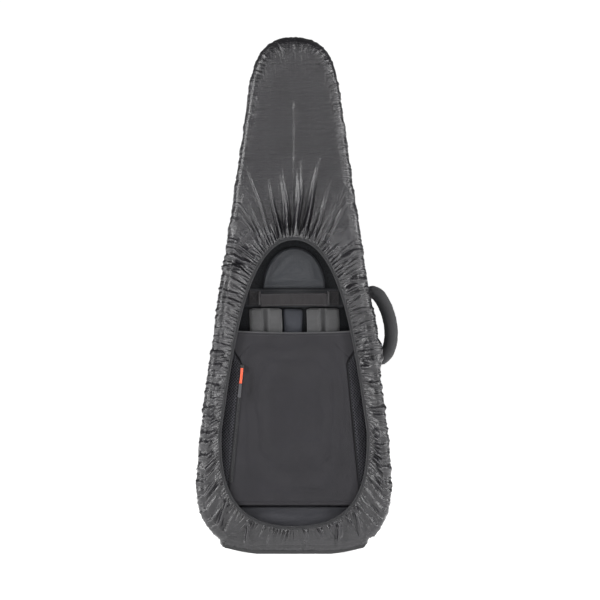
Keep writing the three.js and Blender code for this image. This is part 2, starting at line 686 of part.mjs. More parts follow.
// The zip along the left edge of the pocket's face, and its slider, orange cord and grip.
function addPocketZip() {
  const top = POCKET_SHOULDER_Z - POCKET_ZIP.end;
  const middle = (POCKET_ZIP.from + top) / 2;
  const track = new THREE.Group();
  track.position.set(-faceEdge(middle) + POCKET_ZIP.inset, POCKET_OUTER, middle);
  track.rotation.y = Math.atan2(POCKET_FLARE, POCKET_SHOULDER_Z - POCKET.bottom);
  bag.add(track);
  const length = (top - POCKET_ZIP.from) / Math.cos(track.rotation.y);
  const tapeFace = -GAP - POCKET_ZIP.tapeThick;
  const coilFace = tapeFace - POCKET_ZIP.coilThick;
  const tape = box(about(POCKET_ZIP.tape), [tapeFace, -GAP], about(length));
  const coil = box(about(POCKET_ZIP.coil), [coilFace, -GAP], about(length));
  add("pocket_zip_tape", join(tape, coil), ZIP_CLOTH, track);

  const sliderZ = (POCKET_SLIDER.z - middle) / Math.cos(track.rotation.y);
  const sliderFace = coilFace - GAP - POCKET_SLIDER.thick;
  const block = box(
    about(POCKET_SLIDER.width),
    [sliderFace, coilFace - GAP],
    about(POCKET_SLIDER.length),
  );
  add("pocket_zip_slider", block, BLACK_PLASTIC, track).position.z = sliderZ;

  const pull = new THREE.Group();
  pull.position.set(0, sliderFace - 2 * GAP - PULL.cord / 2, sliderZ);
  track.add(pull);
  const eye = new THREE.Vector3(0, 0, 0.75 * (PULL.cord / 2));
  const line = new THREE.LineCurve3(eye, new THREE.Vector3(0, 0, -PULL.cordLength));
  add("zip_pull_cord", tube(line, PULL.cord / 2, 1, 8), ORANGE, pull);
  const gripTop = -PULL.cordLength - GAP;
  const grip = box(about(PULL.gripWidth), about(PULL.gripThick), [gripTop - PULL.gripLength, gripTop]);
  add("zip_pull_grip", grip, GREY_GRIP, pull);
}

// ---------------------------------------------------------------- side handle
// The handle arches out from two anchors sewn to the side wall. Its core turns on the straight
// line between them, and the padded sleeve is round its middle.
function addSideHandle() {
  const handle = sideGroup(HANDLE_FROM, HANDLE_TO, HANDLE_AXIS_OFF, 0);
  const line = sideLine(HANDLE_FROM, HANDLE_TO);
  const half = line.start.distanceTo(line.end) / 2;
  const places = [
    [0, 1],
    [0.45, 0.95],
    [0.86, 0.64],
    [1, 0.1],
    [0.92, -0.48],
    [0.52, -0.9],
    [0, -1],
  ];
  const route = new THREE.CatmullRomCurve3(
    places.map(([out, up]) => new THREE.Vector3(out * HANDLE_REACH, 0, up * half)),
  );
  const steps = 28;
  add("side_handle_core", tube(route, HANDLE_CORE, steps), WEBBING_CLOTH, handle);
  const [from, to] = [SLEEVE_SKIP, steps - SLEEVE_SKIP];
  const covered = Array.from({ length: to - from + 1 }, (_, i) => route.getPointAt((from + i) / steps));
  const sleeve = tube(new THREE.CatmullRomCurve3(covered), HANDLE_RADIUS, to - from, 12);
  const bore = tube(route, HANDLE_CORE + 2 * GAP, steps);
  add("side_handle_sleeve", cut(sleeve, bore), HANDLE_CLOTH, handle);

  const near = half + HANDLE_CORE + 2 * GAP;
  const patchRing = ring(shellOutline(GAP + ANCHOR.thick), shellOutline(GAP));
  const strip = slab(patchRing, ...about(ANCHOR.width));
  const shell = slab(shapeOf(shellOutline(GAP)), ...about(2 * ANCHOR.width));
  for (const [name, sign] of [["side_handle_anchor_upper", 1], ["side_handle_anchor_lower", -1]]) {
    const span = (length) => [near, near + length].map((z) => sign * z).sort((a, b) => a - b);
    const window = box([-2 * HANDLE_AXIS_OFF, HANDLE_AXIS_OFF], about(ANCHOR.width), span(ANCHOR.height));
    const out = [-HANDLE_AXIS_OFF - ANCHOR.thick, HANDLE_CORE];
    const stub = box(out, about(ANCHOR.stubWidth), span(ANCHOR.stub));
    const patch = common(strip, window.applyMatrix4(handle.matrixWorld));
    add(name, cut(join(patch, stub.applyMatrix4(handle.matrixWorld)), shell), WEBBING_CLOTH);
  }
  const reach = near + ANCHOR.stub + SLOT_END;
  return { place: handle.matrixWorld, reach };
}

// ---------------------------------------------------------------- lid
// A pocket on the lid: a tray open towards it, a zip along its top, and the zip's slider.
function addFrontPocket(name, low, high, depth) {
  const y = FRONT + GAP;
  const outline = shapeOf(outlineBetween(low, high, -FRONT_INSET));
  const inner = shapeOf(outlineBetween(low + FRONT_WALL, high - FRONT_WALL, -FRONT_INSET - FRONT_WALL));
  const tray = cut(slab(outline, y, y + depth), slab(inner, y - 1, y + depth - FRONT_WALL));
  add(name, tray, BALLISTIC);

  const z = high - FRONT_ZIP.below;
  const reach = halfWidth(z, -FRONT_INSET) - FRONT_ZIP.inset;
  const tapeY = y + depth + GAP;
  const coilEnd = tapeY + FRONT_ZIP.thick + FRONT_ZIP.coilThick;
  const tape = box([-reach, reach], [tapeY, tapeY + FRONT_ZIP.thick], about(FRONT_ZIP.tape, z));
  const coil = box([-reach, reach], [tapeY, coilEnd], about(FRONT_ZIP.coil, z));
  add(name + "_zip", join(tape, coil), ZIP_CLOTH);

  const sliderY = [coilEnd + GAP, coilEnd + GAP + FRONT_SLIDER.thick];
  const x = -reach + FRONT_SLIDER.inset;
  const block = box(about(FRONT_SLIDER.length, x), sliderY, about(FRONT_SLIDER.width, z));
  const tab = box(about(FRONT_SLIDER.tabWidth, x), sliderY, [z - FRONT_SLIDER.tab, z]);
  add(name + "_slider", join(block, tab), BLACK_PLASTIC);
}

const frontPocketDepth = (depth) =>
  depth + 3 * GAP + FRONT_ZIP.thick + FRONT_ZIP.coilThick + FRONT_SLIDER.thick;

function addLid() {
  add("lid_panel", slab(shapeOf(shellOutline()), LID_BACK + GAP, FRONT), BALLISTIC);
  const lining = shapeOf(shellOutline(-PAD - 3 * GAP));
  add("lid_lining", slab(lining, LID_BACK - LINING, LID_BACK), PLUSH);
  addFrontPocket("front_pocket", LOWER_POCKET.from, FRONT_POCKET_TOP, LOWER_POCKET.depth);
  addFrontPocket("head_pocket", HEAD_POCKET_BOTTOM, HEAD_POCKET_TOP, UPPER_POCKET.depth);
}

// ---------------------------------------------------------------- rain cover
// The space inside the cover, grown by some margin: round the shell, boot and front pockets.
function coverEnvelope(margin) {
  const y = [COVER_BACK - margin, FRONT + COVER_CLEARANCE + margin];
  const shell = slab(shapeOf(shellOutline(COVER_CLEARANCE + margin)), ...y);
  const boot = slab(shapeOf(bootOutline(COVER_BOOT_CLEARANCE + margin)), ...y);
  const grow = margin + COVER_POCKET_ROUND;
  const pocket = (low, high, depth) =>
    slab(
      shapeOf(outlineBetween(low - grow, high + grow, -FRONT_INSET + grow)),
      0,
      FRONT + frontPocketDepth(depth) + COVER_FRONT_CLEARANCE + margin,
    );
  const lower = pocket(LOWER_POCKET.from, FRONT_POCKET_TOP, LOWER_POCKET.depth);
  const upper = pocket(HEAD_POCKET_BOTTOM, HEAD_POCKET_TOP, UPPER_POCKET.depth);
  return join(shell, boot, lower, upper);
}

function addCover({ place, reach }) {
  const window = slab(shapeOf(openingOutline(HEM_WIDTH + GAP)), -FAR, COVER_BACK + GAP);
  const edge = [...soleCurve(COVER_SOLE_GAP), at(FAR, COVER_SOLE_GAP + SOLE_RISE)];
  const underside = slab(shapeOf(bothSides([at(FAR, -FAR), ...edge.reverse()]).reverse()), -FAR, FAR);
  const slot = (grow) =>
    box([-HANDLE_AXIS_OFF, FAR], about(SLOT_WIDTH + 2 * grow), about(2 * (reach + grow))).applyMatrix4(place);
  const inside = coverEnvelope(0);
  add("rain_cover", cut(coverEnvelope(COVER_WALL), inside, window, slot(0), underside), RIPSTOP);

  const hem = ring(openingOutline(HEM_WIDTH), openingOutline());
  add("cover_elastic_hem", slab(hem, COVER_BACK - HEM_THICK, COVER_BACK), ELASTIC);

  const skin = COVER_CLEARANCE + COVER_WALL + GAP;
  const around = ring(shellOutline(skin + SLOT_BINDING.thick), shellOutline(skin));
  const strip = slab(around, ...about(SLOT_WIDTH + 2 * SLOT_BINDING.width));
  add("cover_handle_slit_binding", cut(common(strip, slot(SLOT_BINDING.width)), slot(0)), ELASTIC);
}

addShell();
addMainZip();
addBoot();
addInside();
addBackPads();
addGrabHandle();
addStraps();
addPocket();
addPocketZip();
const handleSlot = addSideHandle();
addLid();
addCover(handleSlot);

export default bag;
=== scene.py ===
"""A padded gig bag in its rain cover, seen from its carrying side.

Helpers take millimetres and piece() turns them into metres. +Z is up and the carrying side faces -Y.
"""
import math
import random
from contextlib import contextmanager

import bmesh
import bpy
import numpy as np
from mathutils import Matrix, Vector, noise


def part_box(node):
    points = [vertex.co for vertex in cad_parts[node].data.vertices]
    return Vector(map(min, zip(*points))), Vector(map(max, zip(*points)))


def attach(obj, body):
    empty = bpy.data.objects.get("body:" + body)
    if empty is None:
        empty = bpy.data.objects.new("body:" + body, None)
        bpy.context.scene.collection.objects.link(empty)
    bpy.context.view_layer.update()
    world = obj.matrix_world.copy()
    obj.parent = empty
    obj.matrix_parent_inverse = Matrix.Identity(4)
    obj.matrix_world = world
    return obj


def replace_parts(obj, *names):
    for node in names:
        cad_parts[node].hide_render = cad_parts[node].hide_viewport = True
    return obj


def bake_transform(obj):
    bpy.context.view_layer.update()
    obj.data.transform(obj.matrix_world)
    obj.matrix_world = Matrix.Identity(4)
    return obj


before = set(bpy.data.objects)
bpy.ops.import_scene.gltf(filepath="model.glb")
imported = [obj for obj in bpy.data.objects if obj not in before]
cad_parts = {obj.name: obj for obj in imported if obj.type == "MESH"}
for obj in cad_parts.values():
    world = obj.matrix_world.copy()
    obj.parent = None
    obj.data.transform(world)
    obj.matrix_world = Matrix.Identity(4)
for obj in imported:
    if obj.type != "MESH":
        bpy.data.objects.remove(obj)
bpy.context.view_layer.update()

# ---------------------------------------------------------------- driving sizes, in millimetres
SHELL_BOTTOM, SHELL_TOP = 12.0, 1040.0
BODY_HALF, BODY_Z = 189.0, 140.0
HEAD_HALF, HEAD_Z = 82.0, 945.0
BACK, BACK_FACE, LID_BACK, FRONT = -55.0, -55.3, 37.0, 55.0
OPENING_BOTTOM, OPENING_TOP, OPENING_WIDEST, OPENING_HALF = 60.0, 636.0, 250.0, 145.0
POCKET_BOTTOM, POCKET_TOP, POCKET_FACE_Y = 100.0, 452.0, -71.9
POCKET_FOOT, POCKET_SHOULDER, SHOULDER_Z = 135.0, 107.0, 391.0
EAR_OUT, EAR_FROM, EAR_LEAN = 18.0, 419.0, 3.0
STRAP_X, STRAP_BOTTOM, STRAP_TOP = 58.0, 186.0, 500.0
GRAB_Z, GRAB_AXIS_Y, GRAB_SPAN = 519.8, -73.0, 134.0
HINGE_LOW, HINGE_HIGH = 180, 640
SLIT_LOW, SLIT_HIGH, SLIT_HALF = 366.7, 562.6, 16
ZIP_LEAN = np.array([-0.0958, 0, -0.9954])
HANDLE_PIVOT = np.array([169.3, 0, 465.44])
HANDLE_UP = np.array([-0.14159, 0, 0.98993])
HANDLE_OUT = np.array([0.98993, 0, 0.14159])
CORD_LENGTH = 31.2

# The rain cover: its distance from the shell, and its grid of rows (hem to the middle of the front)
# and columns (round the bag).
COVER_OUT = 8.0
COVER_ROUND = 16.0
COVER_COLUMNS = 750
COVER_BACK = -63.5
BAND_ROWS = 56
EDGE_ROW = 62
HEM_Y = -76.6
HEM_POINTS = 1440
# Folds over the opening's top: X on the hem, width, height, reach and drift.
FAN_FOLDS = (
    (-25, 3.6, 6.5, 150, -0.03),
    (-10, 4.0, 8.0, 165, -0.01),
    (5, 4.4, 9.0, 185, 0.02),
    (21, 4.8, 9.5, 190, 0.06),
    (37, 4.2, 5.0, 150, 0.08),
    (-41, 3.0, 3.2, 250, -0.06),
    (-55, 2.6, 3.0, 260, -0.10),
    (-70, 2.6, 2.6, 250, -0.14),
    (55, 3.8, 3.2, 140, 0.12),
)

scene = bpy.context.scene


# ---------------------------------------------------------------- camera, floor and light
def aim(obj, target):
    obj.rotation_euler = (Vector(target) - obj.location).to_track_quat("-Z", "Y").to_euler()


def add_camera():
    data = bpy.data.cameras.new("camera")
    data.lens = 250
    data.sensor_width = 36
    camera = bpy.data.objects.new("camera", data)
    scene.collection.objects.link(camera)
    distance = 1.215 * data.lens / data.sensor_width
    tilt = math.radians(2.0)
    target = Vector((0.012, -0.06, 0.516))
    camera.location = target + Vector((0, -distance * math.cos(tilt), distance * math.sin(tilt)))
    aim(camera, target)
    scene.camera = camera


def add_area(name, place, target, size, power):
    data = bpy.data.lights.new(name, "AREA")
    data.shape = "RECTANGLE"
    data.size, data.size_y = size
    data.energy = power
    light = bpy.data.objects.new(name, data)
    light.location = place
    scene.collection.objects.link(light)
    aim(light, target)


def add_studio():
    add_area("softbox_left", (-2.2, -0.9, 1.0), (0, 0, 0.5), (0.4, 1.9), 80)
    add_area("softbox_right", (2.3, -0.9, 1.2), (0, 0, 0.5), (0.35, 1.7), 80)
    add_area("softbox_front", (0.4, -3.0, 1.6), (0, 0, 0.4), (1.0, 0.7), 26)
    world = bpy.data.worlds.new("world")
    scene.world = world
    world.use_nodes = True
    nodes, links = world.node_tree.nodes, world.node_tree.links
    light = nodes["Background"]
    light.inputs["Color"].default_value = (1, 1, 1, 1)
    light.inputs["Strength"].default_value = 0.16
    paper = nodes.new("ShaderNodeBackground")
    paper.inputs["Color"].default_value = (1, 1, 1, 1)
    paper.inputs["Strength"].default_value = 1.05
    seen = nodes.new("ShaderNodeLightPath")
    mix = nodes.new("ShaderNodeMixShader")
    links.new(seen.outputs["Is Camera Ray"], mix.inputs[0])
    links.new(light.outputs[0], mix.inputs[1])
    links.new(paper.outputs[0], mix.inputs[2])
    links.new(mix.outputs[0], nodes["World Output"].inputs["Surface"])
    scene.view_settings.view_transform = "Standard"


# ---------------------------------------------------------------- procedural materials
def linear(rgb):
    return [((c / 255 + 0.055) / 1.055) ** 2.4 if c > 10 else c / 255 / 12.92 for c in rgb] + [1]


class Look:
    """A Principled material that is built up node by node."""

    def __init__(self, name, rough, specular=0.4, sheen=0.0):
        self.material = bpy.data.materials.new(name)
        self.material.use_nodes = True
        self.tree = self.material.node_tree
        self.shader = self.tree.nodes["Principled BSDF"]
        self.place = self.node("ShaderNodeTexCoord").outputs["Object"]
        put = self.shader.inputs
        put["Roughness"].default_value = rough
        put["Specular IOR Level"].default_value = specular
        put["Sheen Weight"].default_value = sheen
        put["Sheen Roughness"].default_value = 0.5
        self.height = None

    def node(self, kind, **values):
        made = self.tree.nodes.new(kind)
        for key, value in values.items():
            if hasattr(made, key):
                setattr(made, key, value)
            else:
                made.inputs[key.replace("_", " ")].default_value = value
        return made

    def link(self, a, b):
        self.tree.links.new(a, b)

    def math(self, kind, a, b=None):
        made = self.node("ShaderNodeMath", operation=kind)
        for socket, value in zip(made.inputs, (a, b)):
            if value is None:
                continue
            if hasattr(value, "is_output"):
                self.link(value, socket)
            else:
                socket.default_value = value
        return made.outputs[0]

    def noise(self, scale, detail=3.0):
        made = self.node("ShaderNodeTexNoise", Scale=scale, Detail=detail)
        made.inputs["Roughness"].default_value = 0.55
        self.link(self.place, made.inputs["Vector"])
        return made.outputs["Fac"]

    def thread(self, pitch, direction, turn=0.0):
        """Parallel threads that follow one axis, a pitch apart in millimetres."""
        wave = self.node("ShaderNodeTexWave", bands_direction=direction)
        wave.inputs["Scale"].default_value = 1000 * (math.pi / 10) / pitch
        if turn:
            mapping = self.node("ShaderNodeMapping")
            mapping.inputs["Rotation"].default_value = (0, turn, 0)
            self.link(self.place, mapping.inputs["Vector"])
            self.link(mapping.outputs[0], wave.inputs["Vector"])
        else:
            self.link(self.place, wave.inputs["Vector"])
        return wave.outputs["Fac"]

    def raise_by(self, value, share):
        part = self.math("MULTIPLY", value, share)
        self.height = part if self.height is None else self.math("ADD", self.height, part)

    def colour(self, dark, light, factor, low=0.3, high=0.7):
        ramp = self.node("ShaderNodeValToRGB")
        ramp.color_ramp.elements[0].position = low
        ramp.color_ramp.elements[1].position = high
        ramp.color_ramp.elements[0].color = linear(dark)
        ramp.color_ramp.elements[1].color = linear(light)
        self.link(factor, ramp.inputs["Fac"])
        self.link(ramp.outputs["Color"], self.shader.inputs["Base Color"])

    def roughness(self, low, high, factor):
        span = self.node("ShaderNodeMapRange")
        span.inputs["To Min"].default_value = low
        span.inputs["To Max"].default_value = high
        self.link(factor, span.inputs["Value"])
        self.link(span.outputs["Result"], self.shader.inputs["Roughness"])

    def bump(self, distance):
        made = self.node("ShaderNodeBump")
        made.inputs["Strength"].default_value = 1.0
        made.inputs["Distance"].default_value = distance
        self.link(self.height, made.inputs["Height"])
        self.link(made.outputs["Normal"], self.shader.inputs["Normal"])
        return self.material


def mixed(look, a, b, share):
    return look.math("ADD", look.math("MULTIPLY", a, 1 - share), look.math("MULTIPLY", b, share))


def cloth(name, dark, light, rough, pitch, bump, **shine):
    """Plain weave with slow colour changes."""
    look = Look(name, rough, **shine)
    across = look.thread(pitch, "X")
    along = look.thread(pitch, "Z")
    deep = look.thread(pitch, "Y")
    weave = look.math("MULTIPLY", look.math("MAXIMUM", across, deep), along)
    patches = look.noise(14.0, 4.0)
    look.colour(dark, light, mixed(look, patches, weave, 0.35), 0.25, 0.75)
    look.roughness(rough - 0.06, rough + 0.08, patches)
    look.raise_by(weave, 1.0)
    look.raise_by(look.noise(2400, 2.0), 0.5)
    return look.bump(bump)


def cover_cloth():
    look = Look("ripstop_nylon", 0.28, specular=0.55)
    grid = look.math("MAXIMUM", look.thread(5.0, "X"), look.thread(5.0, "Z"))
    rip = look.math("GREATER_THAN", grid, 0.94)
    fine = look.math("MULTIPLY", look.thread(0.9, "X"), look.thread(0.9, "Z"))
    patches = look.noise(9.0, 4.0)
    look.colour((19, 18, 21), (28, 27, 31), mixed(look, patches, fine, 0.2))
    look.roughness(0.2, 0.31, patches)
    look.raise_by(rip, 0.5)
    look.raise_by(fine, 0.4)
    look.raise_by(look.noise(260, 4.0), 1.4)
    look.raise_by(look.noise(90, 3.0), 2.0)
    return look.bump(0.0003)


def net_cloth(name, dark, light, rough):
    """A knitted spacer mesh of small round holes."""
    look = Look(name, rough, specular=0.25)
    cells = look.node("ShaderNodeTexVoronoi", Scale=420.0)
    look.link(look.place, cells.inputs["Vector"])
    holes = cells.outputs["Distance"]
    look.colour(light, dark, holes, 0.2, 0.6)
    look.raise_by(holes, -1.0)
    look.raise_by(look.noise(1800, 2.0), 0.3)
    return look.bump(0.0008)


def ribbed(name, dark, light, rough, pitch, direction, bump, **shine):
    """Woven webbing: ribs in one direction and a finer thread across them."""
    look = Look(name, rough, **shine)
    ribs = look.thread(pitch, direction)
    other = "Z" if direction != "Z" else "X"
    fine = look.thread(pitch * 0.55, other)
    look.colour(dark, light, mixed(look, ribs, look.noise(60, 3.0), 0.5), 0.25, 0.75)
    look.roughness(rough - 0.05, rough + 0.08, look.noise(30, 2.0))
    look.raise_by(ribs, 1.0)
    look.raise_by(fine, 0.5)
    look.raise_by(look.noise(1500, 2.0), 0.4)
    return look.bump(bump)


def plush_cloth():
    look = Look("plush_lining", 0.9, specular=0.1, sheen=0.5)
    pile = look.noise(900, 5.0)
    look.colour((26, 27, 33), (54, 55, 64), mixed(look, pile, look.noise(12, 4.0), 0.5), 0.3, 0.72)
    look.raise_by(pile, 1.0)
    look.raise_by(look.noise(160, 3.0), 0.8)
    return look.bump(0.0015)


def moulded(name, dark, light, rough, grain, bump, **shine):
    look = Look(name, rough, **shine)
    specks = look.noise(grain, 3.0)
    look.colour(dark, light, mixed(look, specks, look.noise(20, 3.0), 0.6))
    look.roughness(rough - 0.08, rough + 0.1, look.noise(45, 4.0))
    look.raise_by(specks, 1.0)
    return look.bump(bump)


def cord_cloth():
    look = Look("orange_cord", 0.55, specular=0.4, sheen=0.2)
    braid = look.math("MULTIPLY", look.thread(0.9, "Z", 0.7), look.thread(0.9, "Z", -0.7))
    look.colour((205, 62, 26), (250, 112, 66), mixed(look, braid, look.noise(300, 2.0), 0.4), 0.2, 0.7)
    look.raise_by(braid, 1.0)
    return look.bump(0.0004)


def make_materials():
    return {
        "ripstop": cover_cloth(),
        "ballistic": cloth(
            "ballistic_nylon", (42, 42, 45), (54, 54, 57), 0.62, 1.1, 0.00035, specular=0.35,
            sheen=0.08,
        ),
        "panel": cloth("pocket_panel_cloth", (29, 28, 31), (39, 38, 42), 0.62, 1.0, 0.0003, specular=0.22),
        "arch": cloth("arch_pad_cloth", (29, 31, 35), (42, 44, 49), 0.42, 0.9, 0.0003, specular=0.4),
        "lower": cloth("lower_pad_cloth", (37, 37, 42), (48, 48, 53), 0.6, 1.0, 0.0003, specular=0.35),
        "flap": cloth("inner_flap_cloth", (32, 34, 40), (42, 44, 51), 0.62, 1.0, 0.0003, specular=0.35),
        "yoke": cloth("yoke_cloth", (25, 26, 29), (36, 37, 41), 0.7, 1.1, 0.0003, specular=0.3),
        "dark_net": net_cloth("back_net", (10, 11, 13), (27, 29, 33), 0.85),
        "air_mesh": moulded("air_mesh_thread", (50, 50, 55), (70, 70, 76), 0.6, 900, 0.0002, specular=0.35),
        "backing": moulded("mesh_backing", (14, 14, 16), (25, 25, 28), 0.85, 700, 0.0004, specular=0.2),
        "elastic": ribbed("elastic_hem", (27, 27, 29), (41, 41, 43), 0.66, 1.6, "Z", 0.0004, specular=0.3),
        "webbing": ribbed(
            "webbing_grey", (18, 16, 18), (36, 33, 35), 0.6, 2.4, "X", 0.0006, specular=0.25,
            sheen=0.0,
        ),
        "webbing_foot": ribbed(
            "webbing_foot", (20, 19, 21), (36, 34, 36), 0.6, 2.4, "X", 0.0005, specular=0.35,
        ),
        "webbing_dark": ribbed(
            "webbing_dark", (32, 32, 34), (52, 52, 54), 0.6, 2.0, "Z", 0.0005, specular=0.35,
        ),
        "strap_cloth": cloth(
            "strap_cloth", (53, 53, 54), (69, 69, 70), 0.66, 1.2, 0.0004, specular=0.3, sheen=0.15,
        ),
        "handle_cloth": cloth(
            "handle_cloth", (27, 27, 29), (40, 40, 42), 0.6, 1.1, 0.0004, specular=0.35, sheen=0.08,
        ),
        "piping": moulded("piping_cord", (40, 40, 42), (60, 60, 62), 0.5, 800, 0.0002, specular=0.4),
        "boot_rubber": moulded("boot_rubber", (28, 28, 29), (42, 42, 43), 0.62, 1200, 0.0003, specular=0.4),
        "black_plastic": moulded(
            "black_plastic", (16, 16, 17), (26, 26, 28), 0.4, 1600, 0.0001, specular=0.5,
        ),
        "zip_cloth": ribbed("zip_tape", (26, 26, 28), (42, 42, 44), 0.66, 0.9, "X", 0.0003, specular=0.3),
        "zip_teeth": moulded("zip_teeth", (24, 24, 26), (44, 44, 47), 0.35, 600, 0.0001, specular=0.5),
        "thread": moulded("thread", (48, 48, 50), (66, 66, 68), 0.6, 900, 0.0001, specular=0.4),
        "plush": plush_cloth(),
        "foam": moulded(
            "cushion_velour", (24, 24, 29), (44, 44, 52), 0.9, 700, 0.001, specular=0.1, sheen=0.4,
        ),
        "orange_cord": cord_cloth(),
        "grey_grip": moulded("grip_rubber", (50, 50, 53), (66, 66, 69), 0.5, 800, 0.0002, specular=0.4),
    }


# ---------------------------------------------------------------- outlines in the X-Z plane, in millimetres
def bezier(p0, p1, p2, p3):
    t = np.linspace(0, 1, 60)[:, None]
    a, b, c, d = (np.array(p, float) for p in (p0, p1, p2, p3))
    return (1 - t) ** 3 * a + 3 * t * (1 - t) ** 2 * b + 3 * t * t * (1 - t) * c + t**3 * d


def chain(*curves):
    return np.vstack([curves[0]] + [c[1:] for c in curves[1:]])


def side_by_side(*parts):
    """Coordinates as the columns of one array. A single number stands for every row."""
    return np.stack(np.broadcast_arrays(*parts), axis=-1)


def box_mm(node):
    """A CAD node's lowest and highest corners, in millimetres."""
    return [np.array(corner) * 1000 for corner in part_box(node)]


def length_along(points):
    return np.concatenate([[0], np.cumsum(np.linalg.norm(np.diff(points, axis=0), axis=1))])


def spread(points, where):
    """Points of an open line at shares of its length."""
    run = length_along(points)
    return np.stack([np.interp(where * run[-1], run, points[:, k]) for k in range(points.shape[1])], axis=1)


def both_sides(right):
    left = right[1:-1][::-1] * (-1, 1)
    return np.vstack([right, left])


def resample(loop, count):
    closed = np.vstack([loop, loop[:1]])
    return spread(closed, np.arange(count) / count)


def normals_of(loop):
    step = np.roll(loop, -1, axis=0) - np.roll(loop, 1, axis=0)
    out = side_by_side(step[:, 1], -step[:, 0])
    return out / np.maximum(np.linalg.norm(out, axis=1), 1e-9)[:, None]


def grown(loop, by):
    return loop + normals_of(loop) * by


def smoothed(loop, rounds):
    for _ in range(rounds):
        loop = 0.5 * loop + 0.25 * (np.roll(loop, 1, axis=0) + np.roll(loop, -1, axis=0))
    return loop


def shell_right():
    side = HEAD_Z - BODY_Z
    lean = (BODY_HALF - HEAD_HALF) / side
    rise = BODY_Z - SHELL_BOTTOM
    drop = SHELL_TOP - HEAD_Z
    return chain(
        bezier(
            (0, SHELL_BOTTOM), (0.8 * BODY_HALF, SHELL_BOTTOM),
            (BODY_HALF, SHELL_BOTTOM + 0.24 * rise), (BODY_HALF, BODY_Z),
        ),
        bezier(
            (BODY_HALF, BODY_Z), (BODY_HALF, BODY_Z + 0.15 * side),
            (HEAD_HALF + lean * 0.31 * side, HEAD_Z - 0.31 * side), (HEAD_HALF, HEAD_Z),
        ),
        bezier(
            (HEAD_HALF, HEAD_Z), (0.96 * HEAD_HALF, HEAD_Z + 0.6 * drop),
            (0.7 * HEAD_HALF, SHELL_TOP), (0, SHELL_TOP),
        ),
    )


def opening_right():
    lower, upper = OPENING_WIDEST - OPENING_BOTTOM, OPENING_TOP - OPENING_WIDEST
    half = OPENING_HALF
    return chain(
        bezier(
            (0, OPENING_BOTTOM), (0.86 * half, OPENING_BOTTOM),
            (1.02 * half, OPENING_WIDEST - 0.58 * lower), (half, OPENING_WIDEST),
        ),
        bezier(
            (half, OPENING_WIDEST), (0.83 * half, OPENING_WIDEST + 0.44 * upper),
            (0.65 * half, OPENING_TOP), (0, OPENING_TOP),
        ),
    )


def shell_loop(grow=0.0, count=720):
    return grown(resample(both_sides(shell_right()), count), grow)


def shell_half(z, grow=0.0):
    right = spread(shell_right(), np.linspace(0, 1, 600))
    rising = right[:, 1]
    return np.interp(z, rising, right[:, 0]) + grow


def between(low, high, grow, corner=30, count=400):
    """The shell's outline cut off by two level lines, with rounded corners."""
    z = np.linspace(low, high, 120)
    right = side_by_side(shell_half(z, grow), z)
    right = np.vstack([[[0, low]], right, [[0, high]]])
    return smoothed(resample(both_sides(right), count), corner)


def face_edge(z):
    flare = POCKET_FOOT - POCKET_SHOULDER
    return POCKET_SHOULDER + flare * (SHOULDER_Z - z) / (SHOULDER_Z - POCKET_BOTTOM)


# ---------------------------------------------------------------- mesh helpers
@contextmanager
def opened(mesh):
    """A mesh opened for editing and written back afterwards."""
    bm = bmesh.new()
    bm.from_mesh(mesh)
    yield bm
    bm.to_mesh(mesh)
    bm.free()


def piece(name, verts, faces, look, body, tidy=0.0):
    """A mesh object in metres from points in millimetres, riding on a body."""
    mesh = bpy.data.meshes.new(name)
    mesh.from_pydata((np.asarray(verts, float) * 0.001).tolist(), [], [list(map(int, f)) for f in faces])
    with opened(mesh) as bm:
        if tidy:
            bmesh.ops.remove_doubles(bm, verts=bm.verts, dist=tidy * 0.001)
        bmesh.ops.recalc_face_normals(bm, faces=bm.faces)
    mesh.polygons.foreach_set("use_smooth", [True] * len(mesh.polygons))
    obj = bpy.data.objects.new(name, mesh)
    scene.collection.objects.link(obj)
    mesh.materials.append(LOOKS[look])
    if body:
        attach(obj, body)
    return obj


def quads(rows, cols, wrap=True, flip=False):
    """Faces of a grid whose columns may close into a ring."""
    last = cols if wrap else cols - 1
    i, j = np.meshgrid(np.arange(rows - 1), np.arange(last), indexing="ij")
    a = i * cols + j
    b = i * cols + (j + 1) % cols
    c, d = b + cols, a + cols
    faces = side_by_side(a, b, c, d).reshape(-1, 4)
    return faces[:, ::-1] if flip else faces


def apply(obj, kind, **values):
    """Add a modifier, set it and bake it into the mesh."""
    made = obj.modifiers.new(kind.lower(), kind)
    for key, value in values.items():
        setattr(made, key, value)
    depsgraph = bpy.context.evaluated_depsgraph_get()
    mesh = bpy.data.meshes.new_from_object(obj.evaluated_get(depsgraph))
    obj.modifiers.remove(made)
    old = obj.data
    obj.data = mesh
    bpy.data.meshes.remove(old)
    mesh.polygons.foreach_set("use_smooth", [True] * len(mesh.polygons))
    return obj


def soften(name, node, look, body, bevel=1.2, segments=3, voxel=0.0, smooth=6):
    """A CAD solid's shape with soft edges: bevelled, or remeshed and smoothed."""
    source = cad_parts[node]
    obj = bpy.data.objects.new(name, source.data.copy())
    scene.collection.objects.link(obj)
    obj.data.transform(source.matrix_world)
    obj.data.materials.clear()
    obj.data.materials.append(LOOKS[look])
    with opened(obj.data) as bm:
        bmesh.ops.remove_doubles(bm, verts=bm.verts, dist=1e-5)
        bmesh.ops.dissolve_limit(bm, angle_limit=0.02, verts=bm.verts, edges=bm.edges)
    if voxel:
        apply(obj, "REMESH", mode="VOXEL", voxel_size=voxel * 0.001)
        apply(obj, "SMOOTH", factor=0.5, iterations=smooth)
    else:
        apply(obj, "BEVEL", width=bevel * 0.001, segments=segments, limit_method="ANGLE", angle_limit=0.6)
        keep_flats(obj)
    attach(obj, body)
    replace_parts(obj, node)
    return obj


